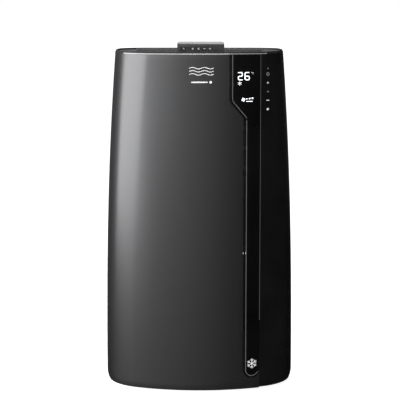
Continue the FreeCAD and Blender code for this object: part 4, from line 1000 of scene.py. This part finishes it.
# %% Lid with its outlet and its slot
DECK_LOW, DECK_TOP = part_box("top_deck")[0].z, 0.778
DECK_INSET = WALL + 0.0009
OUTLET_HALF, OUTLET_FRONT, OUTLET_BACK = 0.150, 0.0405, 0.1365
dock_low, dock_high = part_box("handset_dock")
DOCK_WALL = 0.002
HINGE_Y, HINGE_Z, BARREL_RADIUS, PIN_RADIUS = 0.1445, 0.7799, 0.0015, 0.0011
PIN_HOLE, LUG_WIDE = 0.00115, 0.004
UNDER_LID, OVER_LID = 0.7, 0.8


def ring_plate(name, low, high, inset, count=220):
    """A plate with the housing's outline, less an inset."""
    total = ring(high)[4]
    rim = [skin_point(high, total * (2 * index / count - 1), inset) for index in range(count)]
    return extruded(name, [(point.x, point.y, low) for point in rim], (0, 0, high - low))


lid = ring_plate("lid", DECK_LOW, DECK_TOP, DECK_INSET)
for side in (-1, 1):
    ends = sorted((side * OUTLET_HALF, side * (OUTLET_HALF + LUG_WIDE)))
    lug = cuboid("lug", (ends[0], HINGE_Y - 0.004, DECK_LOW + 0.0005),
                 (ends[1], HINGE_Y + 0.002, HINGE_Z + BARREL_RADIUS))
    cut_by(lid, lug, how="UNION")
holes = [cuboid("outlet_cutter", (-OUTLET_HALF, OUTLET_FRONT, UNDER_LID),
                (OUTLET_HALF, OUTLET_BACK, OVER_LID)),
         cuboid("slot_cutter", (dock_low.x + DOCK_WALL, dock_low.y + DOCK_WALL, UNDER_LID),
                (dock_high.x - DOCK_WALL, dock_high.y - DOCK_WALL, OVER_LID)),
         cylinder("pin_cutter", (0, HINGE_Y, HINGE_Z), PIN_HOLE, 0.5, "x", 24)]
cut_by(lid, joined("lid_cutters", holes))
soften(lid, 0.0008, 3)
show_as(lid, "housing", deck_grey, "deck_plastic", "top_deck")

# %% [markdown]
# A dark strip stands between the lid and the front wall, and along the wall's own top edge lies a fine pale
# strip, a painted highlight of the light from above. Both are strips of the same skin, bent by the same
# formula.

# %% Dark strip by the lid, and the painted highlight along the top edge
RIM_TALL, LINE_LOW, LINE_HIGH = 0.0047, -0.0013, 0.0012
dark_lid_strip = skin_sheet("lid_dark_strip", lambda z: -travel_where(z, 1, 0.0), lambda z: travel_where(z, 1, 0.0),
                    DECK_TOP - 0.002, FRONT_TOP + RIM_TALL, 120, 2, thickness=0.0016, proud=-WALL * 0.5)
soften(dark_lid_strip, 0.0006, 3)
show_as(dark_lid_strip, "housing", rubber, "deck_plastic")
LINE_STARTS, LINE_TURNS, LINE_ENDS = -0.172, GLASS_LEFT - TRIM_WIDE, SEAM_X + 0.014


def highlight_strip(name, first, last, material):
    """A thin strip of painted highlight on the front wall's top edge, between two places along x."""
    strip = skin_sheet(name, lambda z: math.copysign(travel_where(z, 0, abs(first)), first),
                       lambda z: travel_where(z, 0, last), FRONT_TOP + LINE_LOW, FRONT_TOP + LINE_HIGH, 80, 2,
                       thickness=0.0012, proud=-CROWN * 0.15)
    soften(strip, 0.0003, 2)
    return show_as(strip, "housing", material, "silver_trim")


# Painted highlights along the front wall's top edge: brighter on the left, dimmer on the right.
highlight_strip("highlight_strip_left", LINE_STARTS, LINE_TURNS, highlight_bright)
highlight_strip("highlight_strip_right", LINE_TURNS + 2 * GAP, LINE_ENDS, highlight_dim)

# %% [markdown]
# The flap is a plate with a thin raised border, made by insetting its top face and pressing it down. Its
# barrel and pins are a turned rod along the rear edge.

# %% Flap
flap_low, flap_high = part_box("outlet_flap")
FLAP_HALF = OUTLET_HALF - 0.0008
BORDER_WIDE, BORDER_DEEP = 0.005, 0.0006
flap = cuboid("flap", (-FLAP_HALF, flap_low.y, flap_low.z), (FLAP_HALF, HINGE_Y, flap_high.z))
pick_faces(flap, lambda centre, facing: facing.z > 0.9)
bpy.ops.mesh.inset(thickness=BORDER_WIDE)
bpy.ops.mesh.extrude_region_move(TRANSFORM_OT_translate={"value": (0, 0, -BORDER_DEEP)})
leave_edit()
soften(flap, 0.0006, 3)
barrel = cylinder("barrel", (0, HINGE_Y, HINGE_Z), BARREL_RADIUS, 2 * FLAP_HALF, "x", 32)
pins = cylinder("pins", (0, HINGE_Y, HINGE_Z), PIN_RADIUS, 2 * (OUTLET_HALF + 0.0039), "x", 24)
flap = joined("flap", [barrel, pins, flap])
take(flap)
bpy.ops.object.shade_smooth_by_angle(angle=math.radians(40))
show_as(flap, "outlet_flap", flap_grey, "deck_plastic", "outlet_flap")

# %% [markdown]
# ## The remote control
# It stands in its slot with its top showing above the lid. The case is two halves. The front half has a wide
# sloping edge along the top that catches the light, which is a wedge cut away before the edges are softened.

# %% Case of the remote control
hand_low, hand_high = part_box("handset_front")
HAND_ROUND, HAND_WALL = 0.005, 0.0015
SLOPE_TALL, SLOPE_DEEP = 0.0066, 0.0046
case_front = box_prism("case_front", hand_low.x, hand_high.x, hand_low.z, hand_high.z,
                       hand_low.y, hand_high.y, HAND_ROUND)
wedge = cuboid("wedge", (hand_low.x - 0.01, -0.5, 0), (hand_high.x + 0.01, 0.5, 0.03))
slope = Matrix.Rotation(math.atan2(SLOPE_TALL, SLOPE_DEEP), 4, "X")
wedge.data.transform(Matrix.Translation((0, hand_low.y, hand_high.z - SLOPE_TALL)) @ slope)
cut_by(case_front, wedge)
hollow = cuboid("hollow", (hand_low.x + HAND_WALL, hand_low.y + HAND_WALL, hand_low.z + 0.0025),
                (hand_high.x - HAND_WALL, 0, hand_high.z - 0.0065))
cut_by(case_front, hollow)
key_names = ("power_key", "mode_key", "fan_key", "minus_key", "plus_key")
openings = []
KEY_PLAY, KEY_RIM = 0.00025, 0.001
for name in key_names:
    low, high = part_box(name)
    openings.append(cuboid("opening", (low.x + KEY_RIM - KEY_PLAY, -0.2, low.z + KEY_RIM - KEY_PLAY),
                           (high.x - KEY_RIM + KEY_PLAY, 0, high.z - KEY_RIM + KEY_PLAY)))
cut_by(case_front, joined("key_openings", openings))
soften(case_front, 0.0005, 3)
show_as(case_front, "handset", case_dark, "handset_case", "handset_front")

# %% [markdown]
# The keys are rubber caps. Each comes through its opening, and a wider rim behind the case keeps it in. The
# sign on a cap is printed, so it rides on the key's own body.

# %% Keys of the remote control: dark caps with a pale sign on each
RIM_THICK = 0.0009
key_signs = {
    "power_key": lambda x, z: power_sign(x, z, 0.0015, 0, 0.0018, 0.0007, 12),
    "mode_key": lambda x, z: snowflake((x, z), 0.0020, 0.0007),
    "fan_key": lambda x, z: [disc((x, z), 0.0020, 0.0009)],
    "minus_key": lambda x, z: bar_sign(x, z, 0.0022, 0.0012),
    "plus_key": lambda x, z: plus_sign(x, z, 0.0020, 0.0018, 0.0012),
}
for name in key_names:
    low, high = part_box(name)
    cap = cuboid(name + "_cap", (low.x + KEY_RIM, low.y, low.z + KEY_RIM),
                 (high.x - KEY_RIM, high.y, high.z - KEY_RIM))
    pick_faces(cap, lambda centre, facing: facing.y < -0.9)
    bpy.ops.mesh.bevel(offset=0.0006, segments=3)
    leave_edit()
    rim = cuboid(name + "_rim", (low.x, high.y - RIM_THICK, low.z), high)
    cap = joined(name + "_cap", [rim, cap])
    soften(cap, 0.0001, 1)
    show_as(cap, name, rubber, "key_rubber", name)
    x, y, z = middle_of(low, high)
    sign = key_signs[name](x, z)
    wrap_on_front(name + "_sign", sign, print_light, "key_rubber", body=name, proud=0.0,
                  surface=low.y - 0.00002)

# %% [markdown]
# ## Finishes for the pieces that stay
# The remaining nodes have the right shape already. Each gets a finish that fits its real stuff: galvanised
# sheet, aluminium fins, copper pipe, enamelled steel, rubber and moulded plastic.

# %% Hand out the finishes
finishes = {
    shell_grey: ["side_grips", "drain_plug", "handset_dock", "dust_filter"],
    case_dark: ["handset_rear"],
    pale_plastic: ["cell_tray", "run_capacitor", "condensate_pump"],
    vane_grey: ["vane_1", "vane_2", "vane_3", "vane_4", "vane_5", "vane_link", "outlet_frame"],
    pan_grey: ["base_pan", "condenser_scroll", "evaporator_scroll"],
    rubber: ["cord_gland", "compressor_mounts"],
    wheel_dark: ["castor_fork_" + corner for corner in CORNERS],
    zinc: ["rear_screws", "chassis_plate", "partition", "control_box"],
    fins: ["condenser_coil", "evaporator_coil"],
    fan_dark: ["condenser_fan", "evaporator_fan"],
    steel_can: ["condenser_motor", "evaporator_motor"],
    enamel: ["compressor", "accumulator"],
    copper: ["refrigerant_pipes"],
    card_green: ["display_board", "touch_board"],
}
for material, names in finishes.items():
    for name in names:
        piece = nodes[name]
        if not piece.material_slots:
            piece.data.materials.append(material)
        for entry in piece.material_slots:
            entry.material = material
print(sum(len(names) for names in finishes.values()), "nodes keep their own shape")

# %% [markdown]
# ## Studio
# A pale floor runs into a pale surround, and both glow a little, so that they stay evenly bright. Reflections
# don't see them, because a glossy black panel would mirror them and turn grey.

# %% Floor and surround
def stage_piece(name, material):
    piece = bpy.context.active_object
    piece.name = name
    piece.data.materials.append(material)
    return piece


floor_finish = glow(finish("pale_floor", (0.8, 0.8, 0.8), roughness=0.9, specular=0.0), (1, 1, 1), 0.93)
surround_finish = glow(finish("pale_surround", (0, 0, 0)), (1, 1, 1), 1.0)
clear()
bpy.ops.mesh.primitive_plane_add(size=60, location=(0, 0, -0.0002))
floor = stage_piece("studio_floor", floor_finish)
floor.visible_glossy = False
clear()
bpy.ops.mesh.primitive_uv_sphere_add(segments=48, ring_count=24, radius=45)
dome = stage_piece("studio_surround", surround_finish)
dome.visible_glossy = False
dome.visible_diffuse = False
dome.visible_transmission = False
dome.visible_shadow = False
print("floor and surround, outside the part")

# %% [markdown]
# The room itself is brighter to the left and in front, and dark to the right, behind and low down, which
# keeps the black panel black and lets the graphite fade towards its foot. Its brightness is the product of
# three curves, one along each axis, times one strength.

# %% The room's own light
ROOM_STRENGTH = 1.6
world = bpy.data.worlds.new("studio_world")
bpy.context.scene.world = world
world.use_nodes = True
room = world.node_tree


def room_ramp(way, axis, stops):
    """Brightness along one axis of the direction: stops are (place from -1 to 1, brightness)."""
    made = room.nodes.new("ShaderNodeFloatCurve")
    spread_node = room.nodes.new("ShaderNodeMapRange")
    spread_node.inputs["From Min"].default_value = -1.0
    room.links.new(way.outputs[axis], spread_node.inputs["Value"])
    room.links.new(spread_node.outputs["Result"], made.inputs["Value"])
    curve = made.mapping.curves[0]
    for place, value in stops[1:-1]:
        curve.points.new((place + 1) / 2, value)
    curve.points[0].location = ((stops[0][0] + 1) / 2, stops[0][1])
    curve.points[-1].location = ((stops[-1][0] + 1) / 2, stops[-1][1])
    made.mapping.update()
    return made


def times(first, second):
    """The product of a node's value and a second one, which is a node or a plain number."""
    made = room.nodes.new("ShaderNodeMath")
    made.operation = "MULTIPLY"
    room.links.new(first.outputs["Value"], made.inputs[0])
    if isinstance(second, float):
        made.inputs[1].default_value = second
    else:
        room.links.new(second.outputs["Value"], made.inputs[1])
    return made


direction = room.nodes.new("ShaderNodeTexCoord")
split = room.nodes.new("ShaderNodeSeparateXYZ")
room.links.new(direction.outputs["Generated"], split.inputs["Vector"])
along_x = room_ramp(split, "X", [(-1.0, 0.40), (-0.5, 0.48), (-0.1, 0.38), (0.2, 0.20), (0.45, 0.06),
                                 (1.0, 0.028)])
along_y = room_ramp(split, "Y", [(-1.0, 1.0), (0.1, 1.0), (0.5, 0.40), (0.8, 0.14), (1.0, 0.05)])
along_z = room_ramp(split, "Z", [(-1.0, 0.12), (-0.30, 0.12), (-0.18, 0.35), (0.0, 0.95), (0.15, 1.0),
                                 (1.0, 1.0)])
brightness = times(times(times(along_x, along_y), along_z), ROOM_STRENGTH)
backdrop = room.nodes["Background"]
backdrop.inputs["Color"].default_value = (1, 1, 1, 1)
room.links.new(brightness.outputs["Value"], backdrop.inputs["Strength"])
print("room light from", len(room.nodes), "nodes")

# %% [markdown]
# A tall soft light on the left draws the broad sheen down the metallic paint, a weak one in front fills it, a
# card behind on the right lights the far edge, and a light overhead picks out the lid.

# %% Lights
def soft_light(name, place, aim, wide, tall, power):
    clear()
    bpy.ops.object.light_add(type="AREA", location=place)
    light = bpy.context.active_object
    light.name = name
    light.data.shape = "RECTANGLE"
    light.data.size = wide
    light.data.size_y = tall
    light.data.energy = power
    light.rotation_euler = (Vector(aim) - Vector(place)).to_track_quat("-Z", "Y").to_euler()
    light.visible_camera = False
    print(name, power, "W")
    return light


soft_light("tall_left", (-2.242, -0.593, 1.00), (-0.132, -0.073, 1.00), 3.15, 1.85, 67.5)
soft_light("front_left", (-1.6, -2.6, 1.15), (0, 0, 1.0), 1.5, 1.4, 4)
soft_light("right_card", (0.40, 2.0, 0.36), (0.22, 0, 0.6), 0.42, 0.44, 0.05)
soft_light("overhead", (0, -0.62, 2.7), (0, -0.1, 0.8), 1.6, 0.8, 52)

# %% [markdown]
# A long lens, three metres in front of the machine and a little above its top, keeps the upright edges nearly
# parallel and shows a sliver of the lid. The Standard view keeps black black and white white.

# %% Camera
CAMERA_AWAY, CAMERA_HIGH, LOOKS_DOWN = 3.0, 0.8958, 8.36
bpy.ops.object.camera_add(location=(0, FRONT_Y - CAMERA_AWAY, CAMERA_HIGH),
                          rotation=(math.radians(90 - LOOKS_DOWN), 0, 0))
camera = bpy.context.active_object
camera.data.lens = 121.67
camera.data.sensor_width = 36
camera.data.shift_x = 0.002
bpy.context.scene.camera = camera
bpy.context.scene.view_settings.view_transform = "Standard"
print("camera at", tuple(round(value, 3) for value in camera.location), "with a lens of", camera.data.lens)
